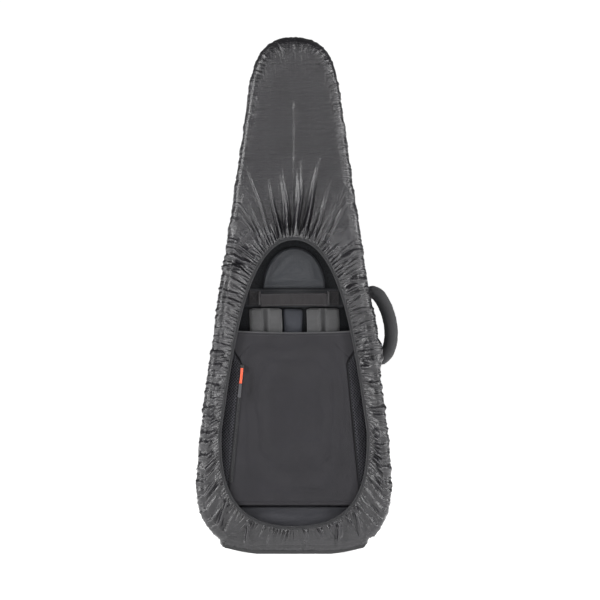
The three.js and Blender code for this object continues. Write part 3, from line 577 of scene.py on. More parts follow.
def keep_flats(obj):
    """Flat faces stay flat under smooth shading."""
    made = obj.modifiers.new("weighted", "WEIGHTED_NORMAL")
    made.keep_sharp = False
    made.weight = 80
    depsgraph = bpy.context.evaluated_depsgraph_get()
    obj.data = bpy.data.meshes.new_from_object(obj.evaluated_get(depsgraph))
    obj.modifiers.remove(made)


def edge_distance(points, loop):
    """How far each point is from a closed outline."""
    a = loop
    b = np.roll(loop, -1, axis=0)
    run = b - a
    size = np.maximum((run**2).sum(1), 1e-9)
    out = np.empty(len(points))
    for start in range(0, len(points), 2000):
        p = points[start : start + 2000, None, :]
        t = np.clip(((p - a) * run).sum(2) / size, 0, 1)
        near = a + t[..., None] * run
        out[start : start + 2000] = np.sqrt(((p - near) ** 2).sum(2)).min(1)
    return out


def hump(x):
    """0 to 1 with level ends."""
    x = np.clip(x, 0, 1)
    return x * x * (3 - 2 * x)


def ripple(points, scale, seed):
    """Smooth noise at each point, from -1 to 1; scale is the size of its bumps in millimetres."""
    shift = Vector((seed * 7.31, seed * 3.17, seed * 5.77))
    return np.array([noise.noise(Vector(p) / scale + shift) for p in points])


def puff(
    name, loop, inner, outer, look, slot, body, rim=6.0, crown=2.0, spine=None, rows=18,
    relief=None, slump=0.0, seed=1,
):
    """A stuffed panel, flat behind, round at its rim and crowned in the middle, from Y inner to Y outer."""
    loop = np.asarray(loop, float)
    low, high = loop[:, 1].min(), loop[:, 1].max()
    width = np.abs(loop[:, 0]).max()
    spine = spine or (min(low + width, (low + high) / 2), max(high - width, (low + high) / 2))
    middle = side_by_side(0.0, np.clip(loop[:, 1], *spine))
    share = np.linspace(0, 1, rows) ** 1.7
    flat = np.vstack([loop + (middle - loop) * s for s in share])
    depth = edge_distance(flat, loop)
    side = 1.0 if outer > inner else -1.0
    thick = abs(outer - inner)
    rise = np.sqrt(np.clip(1 - (1 - np.clip(depth / rim, 0, 1)) ** 2, 0, 1))
    lift = thick * (0.25 + 0.75 * rise) + crown * (1 - np.exp(-depth / (4 * rim)))
    if slump:
        lift += slump * ripple(side_by_side(flat[:, 0], 0.0, flat[:, 1]), 60, seed) * rise
        lift += 0.35 * slump * ripple(side_by_side(flat[:, 0], 0.0, flat[:, 1]), 22, seed + 3) * rise
    if relief is not None:
        lift += relief(flat[:, 0], flat[:, 1], depth)
    outer_points = side_by_side(flat[:, 0], inner + side * lift, flat[:, 1])
    inner_points = side_by_side(flat[:, 0], inner, flat[:, 1])
    count = len(loop)
    faces = quads(rows, count)
    back = quads(rows, count, flip=True) + len(flat)
    j = np.arange(count)
    k = (j + 1) % count
    rim_faces = side_by_side(j, j + len(flat), k + len(flat), k)
    verts = np.vstack([outer_points, inner_points])
    return piece(name, verts, np.vstack([faces, back, rim_faces]), look, body, tidy=0.05)


def stuffed(node, fill, *shape, **details):
    """A padded piece that stands for one CAD node."""
    obj = puff(*shape, **details)
    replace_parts(obj, node)


def section(width, thick, corner=0.5, steps=4):
    """A rounded bar's cross-section, centred."""
    r = min(corner * thick, thick / 2, width / 2)
    points = []
    for cx, cy, start in ((1, 1, 0), (-1, 1, 90), (-1, -1, 180), (1, -1, 270)):
        for step in range(steps + 1):
            angle = math.radians(start + 90 * step / steps)
            points.append((
                cx * (width / 2 - r) + r * math.cos(angle),
                cy * (thick / 2 - r) + r * math.sin(angle),
            ))
    return np.array(points)


def circle(radius, sides=10):
    angle = np.arange(sides) * 2 * math.pi / sides
    return side_by_side(np.cos(angle), np.sin(angle)) * radius


def sweep_mesh(path, shape, across, closed=False, scales=None):
    """Verts and faces of a section carried along a path. across is the section's first axis."""
    path = np.asarray(path, float)
    if closed:
        tangent = np.roll(path, -1, axis=0) - np.roll(path, 1, axis=0)
    else:
        tangent = np.gradient(path, axis=0)
    tangent /= np.maximum(np.linalg.norm(tangent, axis=1), 1e-9)[:, None]
    u = np.broadcast_to(np.asarray(across, float), path.shape).copy()
    u -= (u * tangent).sum(1)[:, None] * tangent
    u /= np.maximum(np.linalg.norm(u, axis=1), 1e-9)[:, None]
    v = np.cross(tangent, u)
    scales = np.ones((len(path), 2)) if scales is None else np.asarray(scales, float)
    wide = shape[None, :, :1] * u[:, None] * scales[:, None, :1]
    thick = shape[None, :, 1:] * v[:, None] * scales[:, None, 1:]
    verts = (path[:, None] + (wide + thick)).reshape(-1, 3)
    rows, cols = len(path), len(shape)
    if closed:
        faces = quads(rows + 1, cols) % (rows * cols)
        return verts, [tuple(f) for f in faces]
    faces = [tuple(f) for f in quads(rows, cols)]
    faces.append(tuple(range(cols))[::-1])
    faces.append(tuple(range((rows - 1) * cols, rows * cols)))
    return verts, faces


def sweep(name, path, shape, across, look, body, closed=False, scales=None):
    verts, faces = sweep_mesh(path, shape, across, closed, scales)
    return piece(name, verts, faces, look, body)


def round_ends(count, reach, length):
    """Section scales that close a bar's ends in a short curve."""
    s = np.linspace(0, length, count)
    near = np.minimum(s, length - s) / reach
    k = np.sqrt(np.clip(1 - (1 - np.clip(near, 0, 1)) ** 2, 0.02, 1))
    return side_by_side(0.75 + 0.25 * k, 0.25 + 0.75 * k)


def joined(parts):
    """Several (verts, faces) pairs as one."""
    verts, faces, start = [], [], 0
    for v, f in parts:
        verts.append(np.asarray(v, float))
        faces += [tuple(i + start for i in face) for face in f]
        start += len(v)
    return np.vstack(verts), faces


def capsule(length, radius):
    """A short rod with tapered ends along X."""
    path = np.array([[-0.5, 0, 0], [-0.36, 0, 0], [0.36, 0, 0], [0.5, 0, 0]]) * (length, 1, 1)
    scales = np.array([[0.35, 0.35], [1, 1], [1, 1], [0.35, 0.35]])
    return sweep_mesh(path, circle(radius, 6), (0, 1, 0), scales=scales)


def repeated(name, unit, places, along, up, look, body):
    """Copies of one small mesh at places, its X along one direction and its Z along another."""
    verts, faces = unit
    places, along, up = (np.asarray(a, float) for a in (places, along, up))
    along = along / np.maximum(np.linalg.norm(along, axis=1), 1e-9)[:, None]
    up = up - (up * along).sum(1)[:, None] * along
    up /= np.maximum(np.linalg.norm(up, axis=1), 1e-9)[:, None]
    side = np.cross(up, along)
    v = np.asarray(verts, float)
    all_verts = (
        places[:, None]
        + v[None, :, :1] * along[:, None]
        + v[None, :, 1:2] * side[:, None]
        + v[None, :, 2:] * up[:, None]
    ).reshape(-1, 3)
    all_faces = [tuple(i + k * len(v) for i in f) for k in range(len(places)) for f in faces]
    return piece(name, all_verts, all_faces, look, body)


def every(path, pitch, closed=False):
    """Points a pitch apart on a path, with its direction at each."""
    line = np.vstack([path, path[:1]]) if closed else np.asarray(path, float)
    run = length_along(line)
    where = np.arange(pitch / 2, run[-1], pitch) / run[-1]
    points = spread(line, where)
    ahead = spread(line, np.clip(where + 0.002, 0, 1))
    behind = spread(line, np.clip(where - 0.002, 0, 1))
    return points, ahead - behind


def stitches(
    name, path, up, body, pitch=4.0, length=2.7, radius=0.32, closed=False,
):
    points, along = every(path, pitch, closed)
    ups = np.broadcast_to(np.asarray(up, float), points.shape)
    return repeated(name, capsule(length, radius), points, along, ups, "thread", body)


def teeth(name, path, up, width, body, pitch=1.8, radius=0.55):
    """A coil zip's teeth: short rods across the path, each a little to one side in turn."""
    points, along = every(path, pitch)
    ups = np.broadcast_to(np.asarray(up, float), points.shape)
    across = np.cross(along, ups)
    across /= np.linalg.norm(across, axis=1)[:, None]
    turn = np.where(np.arange(len(points)) % 2, 1.0, -1.0)[:, None]
    return repeated(
        name, capsule(width, radius), points + across * turn * width * 0.12, across, ups,
        "zip_teeth", body,
    )


LOOKS = make_materials()


# ---------------------------------------------------------------- rain cover
def cover_edge():
    """The cover's silhouette: round the shell and, low down, round the boot."""
    middle = np.array([0.0, BODY_Z])
    shell = grown(resample(both_sides(shell_right()), 720), COVER_OUT)
    boot = both_sides(np.array(
        [(0, 3), (70, 3), (104, 6), (132, 13), (147, 16), (151, 30), (152, 52), (150, 70), (0, 140)],
        float,
    ))
    boot = resample(boot, 720)

    def reach(loop, angles):
        local = loop - middle
        theta = np.arctan2(local[:, 1], local[:, 0])
        order = np.argsort(theta)
        return np.interp(angles, theta[order], np.linalg.norm(local, axis=1)[order], period=2 * math.pi)

    angles = np.linspace(-math.pi / 2, math.pi / 2, 1500)
    far = reach(shell, angles)
    low = angles < 0
    far[low] = np.maximum(far[low], reach(boot, angles[low]))
    kernel = np.hanning(31)
    padded = np.concatenate([far[:15][::-1], far, far[-15:][::-1]])
    far = np.convolve(padded, kernel / kernel.sum(), mode="valid")
    right = middle + side_by_side(np.cos(angles), np.sin(angles)) * far[:, None]
    right[0, 0] = right[-1, 0] = 0
    return right


def cover_shares():
    """For each column of the right half: its share of the opening's rim and of the silhouette."""
    rim = np.linspace(0, 1, 2000)
    edge = np.interp(rim, [0, 0.385, 0.66, 0.78, 0.9, 0.96, 1], [0, 0.306, 0.48, 0.553, 0.638, 0.79, 1])
    mean = (rim + edge) / 2
    where = np.linspace(0, 1, COVER_COLUMNS + 1)
    rim_share = np.interp(where, mean, rim)
    return rim_share, np.interp(rim_share, rim, edge)


def front_face(z, depth):
    """Y of the cover over the lid and its two pockets."""
    low = hump((z - 40) / 40) * hump((548 - z) / 40) * hump((depth - 14) / 26)
    high = hump((z - 585) / 34) * hump((952 - z) / 34) * hump((depth - 14) / 24)
    return 64 + 33 * low + 17 * high


def cover_rows():
    """The cover's rings from the hem round to the middle of the front: X, Y, Z and the way out."""
    rim_share, edge_share = cover_shares()
    rim = both_sides(grown(spread(opening_right(), rim_share), 5.5))
    edge = both_sides(spread(cover_edge(), edge_share))
    out = normals_of(edge)
    out = side_by_side(smoothed(out[:, 0], 7), smoothed(out[:, 1], 7))
    out /= np.linalg.norm(out, axis=1)[:, None]
    turned = COVER_ROUND + 7 * hump((edge[:, 1] - 940) / 70)
    inside_back = edge - out * turned[:, None]
    inside = edge - out * COVER_ROUND
    rings = []

    def add(flat, y, way):
        rings.append((flat[:, 0], y, flat[:, 1], way))

    toward = np.tile((0.0, -1.0, 0.0), (len(edge), 1))
    outward = side_by_side(out[:, 0], 0.0, out[:, 1])
    gap = np.linalg.norm(inside_back - rim, axis=1)
    for share in np.linspace(0, 1, BAND_ROWS, endpoint=False) ** 1.15:
        run = share * gap
        y = COVER_BACK - 12.5 * np.exp(-((run / 42) ** 1.6)) * (1 - share) ** 0.3
        add(rim + (inside_back - rim) * share, y, toward)
    for turn in np.radians(np.linspace(0, 90, 9)[:-1]):
        flat = inside_back + out * turned[:, None] * math.sin(turn)
        add(
            flat, COVER_BACK + turned * (1 - math.cos(turn)),
            toward * math.cos(turn) + outward * math.sin(turn),
        )
    for share in np.linspace(0, 1, 24):
        waist = 2.2 * math.sin(math.pi * share) ** 2
        add(edge - out * waist, (COVER_BACK + turned) * (1 - share) + 48 * share, outward)
    for turn in np.radians(np.linspace(90, 0, 9)[1:]):
        flat = inside + out * COVER_ROUND * math.sin(turn)
        y = np.full(len(edge), 48 + COVER_ROUND * math.cos(turn))
        add(flat, y, -toward * math.cos(turn) + outward * math.sin(turn))
    spine = side_by_side(0.0, np.clip(edge[:, 1], 190, 960))
    outline = inside + out * COVER_ROUND
    for share in np.linspace(0, 1, 34)[1:]:
        flat = inside + (spine - inside) * share**0.9
        y = front_face(flat[:, 1], edge_distance(flat, outline))
        add(flat, y, -toward)
    return rings


def cover_base():
    rings = cover_rows()
    points = np.array([side_by_side(x, y, z) for x, y, z, way in rings])
    ways = np.array([way for x, y, z, way in rings])
    return points, ways


def pleat(x):
    """A fold's cross-section: a crest that leans to one side, with a dip on both sides."""
    lean = np.where(x < 0, x / 0.6, x)
    return np.exp(-(lean**2)) - 0.4 * np.exp(-((np.abs(lean) - 1.6) ** 2))


def add_pleats(points, drop, run, specs):
    """Add folds, each with its column, width, height, start, reach, drift and fade."""
    columns = points.shape[1]
    across = np.cumsum(np.linalg.norm(points - np.roll(points, 1, axis=1), axis=2), axis=1)
    total = across[:, -1:]
    for column, width, height, start, reach, drift, fade in specs:
        column = int(column) % columns
        spread_columns = int(14 * abs(width) + 1.2 * abs(drift) * reach) + 40
        near = np.arange(column - spread_columns, column + spread_columns) % columns
        local = run[:, near] - start
        share = np.clip(local / reach, 0, 1)
        offsets = across[:, near] - across[:, column][:, None]
        offsets = (offsets + total / 2) % total - total / 2
        offsets -= drift * np.clip(local, 0, reach) + 1.6 * np.sin(local / 19 + column)
        envelope = hump(share / 0.16) * hump((1 - share) / fade)
        drop[:, near] += height * envelope * pleat(offsets / (width * (1 + 0.6 * share)))


def fold_specs(points, run):
    """Every single fold of the cover on the carrying side."""
    dice = random.Random(11)
    columns = points.shape[1]
    half = columns // 2
    step = columns / 900
    rim_x, rim_z = points[0, :, 0], points[0, :, 2]
    upper = rim_z > 560
    specs = []
    # Strong folds that fan up from the opening's top.
    for x, width, height, reach, drift in FAN_FOLDS:
        column = int(np.argmin(np.where(upper, np.abs(rim_x - x), 1e9)))
        specs.append((column, width, height, 2, reach, drift, 1.0))
    # Short tight gathers along the whole hem.
    column = 0.0
    while column < columns:
        z = rim_z[int(column) % columns]
        reach = dice.uniform(14, 40) * (1.6 if z > 540 or z < 110 else 1.0)
        height = dice.uniform(0.8, 1.9) * (1.2 if z > 540 else 1.7 if z < 110 else 1.0)
        specs.append((column, dice.uniform(1.5, 2.4), height, 0.3, reach, dice.uniform(-0.12, 0.12), 0.9))
        column += dice.uniform(2.4, 4.8) * step
    # Folds across the side bands, from near the hem over the edge.
    column = 30.0 * step
    while column < columns - 30 * step:
        z = rim_z[int(column)]
        if 95 < z < 600:
            band = run[EDGE_ROW, int(column)]
            bold = dice.random() < 0.45
            height = dice.uniform(4.6, 7.0) if bold else dice.uniform(1.4, 2.8)
            height *= 0.45 + 0.55 * float(hump((z - 120) / 110))
            width = dice.uniform(4.4, 7.0) if bold else dice.uniform(2.6, 4.2)
            start = dice.uniform(2, 0.35 * band)
            reach = band * dice.uniform(0.75, 1.35)
            side = 1 if column > half else -1
            specs.append((
                column, width, height, start, reach, side * dice.uniform(-0.12, 0.3),
                dice.uniform(0.25, 0.6),
            ))
        column += dice.uniform(5.0, 11.0) * step
    # Longer shallow folds over the upper band.
    for side in (-1, 1):
        for _ in range(15):
            column = half + side * dice.uniform(70, 175) * step
            specs.append((column, dice.uniform(2.0, 4.0), dice.uniform(1.0, 2.6), dice.uniform(4, 60),
                          dice.uniform(80, 240), dice.uniform(-0.05, 0.05), 0.8))
    # A few deep slanting folds at the foot and fine gathers between them.
    for share, drift, height in (
        (-52, 0.5, 4.5), (-84, 0.4, 5.5), (50, -0.55, 5.0), (72, -0.4, 4.0), (14, -0.2, 3.0),
        (-24, 0.2, 3.0),
    ):
        specs.append((share * step, 5.0, height, 4, 80, drift, 0.6))
    return specs


def cover_folds(points):
    """Gathers and folds as a height along each point's way out."""
    rows, columns, _ = points.shape
    steps = np.linalg.norm(np.diff(points, axis=0), axis=2)
    run = np.vstack([np.zeros(columns), np.cumsum(steps, axis=0)])
    drop = np.zeros((rows, columns))
    add_pleats(points, drop, run, fold_specs(points, run))
    z = points[..., 2]
    flat = points.reshape(-1, 3)
    row = np.arange(rows)[:, None]
    on_back = row < EDGE_ROW
    across = np.cumsum(np.linalg.norm(points - np.roll(points, 1, axis=1), axis=2), axis=1)
    at_edge = np.broadcast_to(across[EDGE_ROW], across.shape)
    girth = 0.5 * np.broadcast_to(across[0], across.shape) + 0.5 * at_edge
    warp = ripple(flat, 55, 4).reshape(rows, columns)
    head = hump((z - 690) / 130) * on_back
    foot = hump((130 - z) / 50) * on_back
    crown = hump((z - 950) / 40)
    fan = hump((z - 630) / 40) * hump((115 - np.abs(points[..., 0])) / 50) * on_back
    front = hump((row - rows + 37) / 9)
    away = hump(run / 34)
    quiet = (1 - head) * (1 - 0.9 * fan) * (1 - crown) * (1 - front) * (1 - 0.6 * foot)
    drop *= (
        (1 - front) * (1 - 0.6 * head * hump((run - 190) / 60))
        * (1 - 0.62 * hump((row - EDGE_ROW + 14) / 16))
    )
    # Creases between the folds, mostly along them.
    small = creases(girth + 9 * warp, run, 15, 70, 2, 2.2)
    cross = creases(girth + 20 * warp, run + 12 * warp, 80, 34, 4, 3.0)
    tight = creases(across[0] + 3 * warp, run, 5.0, 34, 3, 1.8)
    drop += away * quiet * (1.7 * small + 2.6 * cross)
    drop += np.exp(-((run / 20) ** 2)) * 1.4 * tight
    drop += away * 0.3 * (1 - head) * ripple(flat, 12, 8).reshape(rows, columns)
    drop += head * 1.2 * ripple(flat, 90, 9).reshape(rows, columns)
    # Puckers along the seam at the edge, a dent at the seam itself, and gathers round the crown.
    seam = np.exp(-(((row - EDGE_ROW) / 5.0) ** 2))
    drop += seam * creases(at_edge, run, 6.5, 90, 6, 1.4) * 1.8
    drop -= 0.8 * np.exp(-(((row - EDGE_ROW + 5) / 1.2) ** 2))
    at_crown = np.exp(-(((row - EDGE_ROW + 5) / 4.5) ** 2)) * hump((z - 800) / 160)
    drop += at_crown * 2.6 * creases(at_edge, run, 5.0, 60, 5, 1.3)
    # The cover is drawn out towards the side handle's lower end.
    on_right = hump((points[..., 0] - 90) / 40)
    by_handle = on_right * hump((row - EDGE_ROW + 10) / 12) * hump((EDGE_ROW + 12 - row) / 10)
    drop += by_handle * (9 * np.exp(-(((z - 408) / 30) ** 2)) + 6 * np.exp(-(((z - 470) / 45) ** 2)))
    # The cloth lies flat round the slit, where the side handle swings over it.
    by_slit = on_right * hump((2.6 - handle_slot(points[..., 1], z)) / 1.2)
    drop *= 1 - by_slit
    drop -= 2.5 * by_slit
    # Wide creases over the front.
    drop += front * 4.0 * creases(z + 22 * warp, points[..., 0] + 30 * warp, 46, 150, 7, 2.6)
    return drop


def creases(across, along, wide, tall, seed, sharp):
    """Crests a few times longer than they are wide, from 0 to 1 less their mean height."""
    grid = side_by_side(across / wide, along / tall, np.full(across.shape, seed * 11.7)).reshape(-1, 3)
    value = np.array([noise.noise(Vector(p)) for p in grid])
    crest = np.clip(1 - np.abs(value) * 1.9, 0, 1) ** sharp
    return (crest - 0.3).reshape(across.shape)


def handle_slot(y, z):
    """Below 1 inside the slit for the side handle, drawn on the right wall."""
    middle = (SLIT_LOW + SLIT_HIGH) / 2
    half = (SLIT_HIGH - SLIT_LOW) / 2
    return np.sqrt((y / SLIT_HALF) ** 4 + ((z - middle) / half) ** 4)


def add_cover():
    points, ways = cover_base()
    drop = cover_folds(points)
    rows, columns, _ = points.shape
    shaped = points + ways * drop[..., None]
    verts = shaped.reshape(-1, 3)
    faces = quads(rows, columns)
    middles = points.reshape(-1, 3)[faces].mean(1)
    within = handle_slot(middles[:, 1], middles[:, 2]) < 1
    hole = (middles[:, 0] > 100) & within & (np.abs(middles[:, 1]) < 40)
    faces = faces[~hole]
    sheet = piece("rain_cover_cloth", verts, faces, "ripstop", None, tidy=0.05)
    with opened(sheet.data) as bm:
        bmesh.ops.delete(bm, geom=[v for v in bm.verts if not v.link_faces], context="VERTS")
    apply(sheet, "SOLIDIFY", thickness=0.0006, offset=0)
    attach(sheet, "cover")
    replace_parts(sheet, "rain_cover")
    return sheet


def add_hem():
    line = grown(resample(both_sides(opening_right()), HEM_POINTS), 4.8)
    run = np.arange(HEM_POINTS)
    gather = 0.55 * np.sin(run * 2 * math.pi / 5.0) + 0.3 * np.sin(run * 2 * math.pi / 8.3 + 1)
    path = side_by_side(line[:, 0], HEM_Y, line[:, 1])
    shape = section(6.6, 3.2, 0.5, 4)
    scales = side_by_side(1 + 0.02 * gather, 1 + 0.16 * gather)
    across = side_by_side(normals_of(line)[:, 0], 0.0, normals_of(line)[:, 1])
    hem = sweep(
        "rain_cover_hem", path, shape, across, "elastic", "cover", closed=True,
        scales=scales,
    )
    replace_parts(hem, "cover_elastic_hem")
    rows = []
    for shift in (-2.0, 2.0):
        row = grown(line, shift)
        row = side_by_side(row[:, 0], HEM_Y - 1.9, row[:, 1])
        rows.append(stitches(
            "hem_stitches_in" if shift < 0 else "hem_stitches_out", row, (0, -1, 0), "cover", 4.2,
            2.8, 0.3, closed=True,
        ))
    return [hem] + rows


def add_slot_binding():
    """The bound edge of the slit that the side handle comes out of."""
    low, high = box_mm("cover_handle_slit_binding")
    z0, z1 = low[2] + 5, high[2] - 5
    turn = np.linspace(0, 2 * math.pi, 160, endpoint=False)
    z = (z0 + z1) / 2 + (z1 - z0) / 2 * np.sign(np.sin(turn)) * np.abs(np.sin(turn)) ** 0.5
    y = 16.5 * np.sign(np.cos(turn)) * np.abs(np.cos(turn)) ** 0.5
    edge = cover_edge()
    order = np.argsort(edge[:, 1])
    x = np.interp(z, edge[order][:, 1], edge[order][:, 0]) - 2.2
    path = side_by_side(x, y, z)
    path = spread(np.vstack([path, path[:1]]), np.arange(200) / 200)
    obj = sweep(
        "rain_cover_slit_binding", path, section(5.2, 2.2), (0, 1, 0.001), "elastic",
        "cover", closed=True,
    )
    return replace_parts(obj, "cover_handle_slit_binding")


# ---------------------------------------------------------------- the bag's shell
def add_shell():
    stuffed(
        "back_panel", 0.7, "back_panel_padding", shell_loop(), BACK + 15.4, BACK + 3, "dark_net",
        "ballistic", "bag", rim=9, crown=2.2, rows=30, slump=0.5,
    )
    wall = add_wall("side_wall_padding", BACK + 16.6, LID_BACK - 0.5)
    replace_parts(wall, "side_wall")
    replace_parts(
        puff(
            "back_lining_plush", shell_loop(-17, 480), -38.5, -37.6, "plush", "plush", "bag", rim=4,
            crown=0.8, rows=24,
        ),
        "back_lining",
    )
    loop = shell_loop(2.2)
    path = side_by_side(loop[:, 0], BACK + 16, loop[:, 1])
    cord = sweep(
        "back_piping_cord", path, circle(2.0, 8), (0, 1, 0), "piping", "bag",
        closed=True,
    )
    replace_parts(cord, "back_piping")


def add_wall(name, low, high):
    """The padded side wall: slightly pillowed outside and inside, with a turned edge."""
    loop = shell_loop()
    out = normals_of(loop)
    profile = []
    steps = 16
    for k in range(steps + 1):
        share = k / steps
        y = low + (high - low) * share
        profile.append((-0.9 + 1.2 * math.sin(math.pi * share) ** 0.6, y))
    for k in range(steps + 1):
        share = 1 - k / steps
        y = low + (high - low) * share
        profile.append((-15.2 - 1.0 * math.sin(math.pi * share) ** 0.6, y))
    rings = []
    for grow, y in profile:
        flat = loop + out * grow
        rings.append(side_by_side(flat[:, 0], y, flat[:, 1]))
    verts = np.array(rings).reshape(-1, 3)
    faces = quads(len(rings) + 1, len(loop)) % len(verts)
    return piece(name, verts, faces, "ballistic", "bag")


def zip_path(grow, y):
    """The main zip's line round the shell, without the stretch of the fabric hinge."""
    loop = shell_loop(grow, 1440)
    keep = ~((loop[:, 0] < 0) & (loop[:, 1] > HINGE_LOW) & (loop[:, 1] < HINGE_HIGH))
    start = int(np.argmax(~keep))
    order = np.roll(np.arange(len(loop)), -start)
    order = order[keep[order]]
    line = loop[order]
    out = normals_of(loop)[order]
    return side_by_side(line[:, 0], y, line[:, 1]), side_by_side(out[:, 0], 0.0, out[:, 1])


def add_main_zip():
    for name, node, body, y, tooth in (
        ("main_zip_wall_tape", "main_zip_wall_half", "bag", 32.2, 36.3),
        ("main_zip_lid_tape", "main_zip_lid_half", "lid", 42.0, 37.9),
    ):
        path, out = zip_path(1.2, y)
        tape = sweep(name, path, section(1.5, 8.6, 0.5, 2), out, "zip_cloth", body)
        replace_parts(tape, node)
        path, _ = zip_path(2.9, tooth)
        points, along = every(path, 2.6)
        ups = interpolate_out(points)
        repeated(
            name.replace("tape", "teeth"), capsule(2.2, 0.75), points, np.cross(along, ups), ups,
            "zip_teeth", body,
        )
    z = np.linspace(HINGE_LOW + 2, HINGE_HIGH - 2, 120)
    half = shell_half(z, 1.2)
    lines = []
    for y in np.linspace(16, 46, 13):
        lines.append(side_by_side(-half - 0.6, y, z))
    outer = np.array(lines)
    inner = outer + (0.9, 0, 0)
    verts = np.vstack([outer.reshape(-1, 3), inner.reshape(-1, 3)])
    rows, cols = len(lines), len(z)
    faces = np.vstack([
        quads(rows, cols, wrap=False), quads(rows, cols, wrap=False, flip=True) + rows * cols,
    ])
    hinge = piece("lid_hinge_cloth", verts, faces, "ballistic", None)
    with opened(hinge.data) as bm:
        edges = [e for e in bm.edges if e.is_boundary]
        bmesh.ops.bridge_loops(bm, edges=edges)
        bmesh.ops.recalc_face_normals(bm, faces=bm.faces)
    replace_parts(hinge, "lid_fabric_hinge")
    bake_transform(hinge)


def interpolate_out(points):
    loop = shell_loop(0, 720)
    out = normals_of(loop)
    flat = np.asarray(points)[:, (0, 2)]
    nearest = np.array([int(np.argmin(((loop - p) ** 2).sum(1))) for p in flat])
    return side_by_side(out[nearest, 0], 0.0, out[nearest, 1])


def add_lid():
    stuffed(
        "lid_panel", 0.7, "lid_padding", shell_loop(), LID_BACK + 1, FRONT - 2.4, "ballistic",
        "ballistic", "lid", rim=9, crown=1.8, rows=30, slump=0.5, seed=5,
    )
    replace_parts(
        puff(
            "lid_lining_plush", shell_loop(-18, 480), LID_BACK - 0.2, LID_BACK - 1.2, "plush",
            "plush", "lid", rim=4, crown=0.3, rows=24,
        ),
        "lid_lining",
    )
    for name, low, high, depth in (("front_pocket", 66, 520, 32), ("head_pocket", 604, 930, 17)):
        add_front_pocket(name, low, high, depth)


def add_front_pocket(name, low, high, depth):
    base = FRONT + 0.4
    seam = high - 46

    def relief(x, z, d):
        groove = -1.4 * np.exp(-(((d - 15) / 2.0) ** 2))
        level = -0.8 * np.exp(-(((z - seam) / 3) ** 2)) * (d > 15)
        return groove + level

    stuffed(
        name, 0.45, name + "_padding", between(low + 1, high - 1, -25), base, base + depth - 3,
        "ballistic", "ballistic", "lid", rim=12, crown=2.2, rows=40, relief=relief, slump=0.9,
        seed=7,
    )
    z = high - 26
    reach = shell_half(z, -24) - 17
    face = base + depth
    x = np.linspace(-reach, reach, 60)
    path = side_by_side(x, face + 0.2, z)
    tape = sweep(
        name + "_zip_tape", path, section(17, 1.2, 0.5, 2), (0, 0, 1), "zip_cloth",
        "lid",
    )
    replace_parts(tape, name + "_zip")
    coil = path + (0, 1.2, 0)
    teeth(name + "_zip_teeth", coil, (0, 1, 0), 4.2, "lid", pitch=1.9, radius=0.7)
    for shift in (-7, 7):
        stitches(
            name + ("_zip_stitch_low" if shift < 0 else "_zip_stitch_high"),
            path + (0, 0.75, shift), (0, 1, 0), "lid",
        )
    add_slider(name + "_pull", name + "_slider", name.replace("_pocket", "") + "_slider")


def add_slider(name, node, body):
    """A zip slider: a waisted body, a bridge and a pull."""
    low, high = box_mm(node)
    middle = (low + high) / 2
    top = high[2] - 4
    parts = []
    lengths = np.linspace(-7, 7, 15)
    path = side_by_side(middle[0] + lengths, low[1] + 0.9, top)
    waist = 1 - 0.25 * np.cos(lengths / 7 * math.pi / 2) ** 2
    parts.append(sweep_mesh(path, section(7.6, 1.7, 0.5, 3), (0, 0, 1), scales=side_by_side(waist, 1.0)))
    pull_z = np.linspace(top - 1, low[2] + 0.3, 24)
    path = side_by_side(middle[0], high[1] - 0.6, pull_z)
    widths = 0.62 + 0.38 * hump((top - pull_z) / 10)
    widths = widths * np.sqrt(np.clip(1 - np.clip(1 - (pull_z - low[2]) / 3, 0, 1) ** 2, 0.1, 1))
    parts.append(sweep_mesh(path, section(6, 1.1, 0.5, 3), (1, 0, 0), scales=side_by_side(widths, 1.0)))
    bridge = np.array([
        (middle[0] - 4, low[1] + 1.2, top), (middle[0] - 2, high[1] - 0.4, top),
        (middle[0] + 2, high[1] - 0.4, top), (middle[0] + 4, low[1] + 1.2, top),
    ])
    parts.append(sweep_mesh(spread(bridge, np.linspace(0, 1, 10)), section(2.4, 0.9), (0, 0, 1)))
    verts, faces = joined(parts)
    obj = piece(name, verts, faces, "black_plastic", body)
    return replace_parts(obj, node)


def add_inside():
    for name, node in (("end_cushion_soft", "end_cushion"), ("neck_rest_soft", "neck_rest")):
        soft = soften(name, node, "foam", "bag", voxel=2.5, smooth=14)
    soften("neck_strap_webbing", "neck_strap", "webbing_dark", "bag", bevel=0.8)
    soften("boot_moulded", "rubber_boot", "boot_rubber", "bag", bevel=1.5)


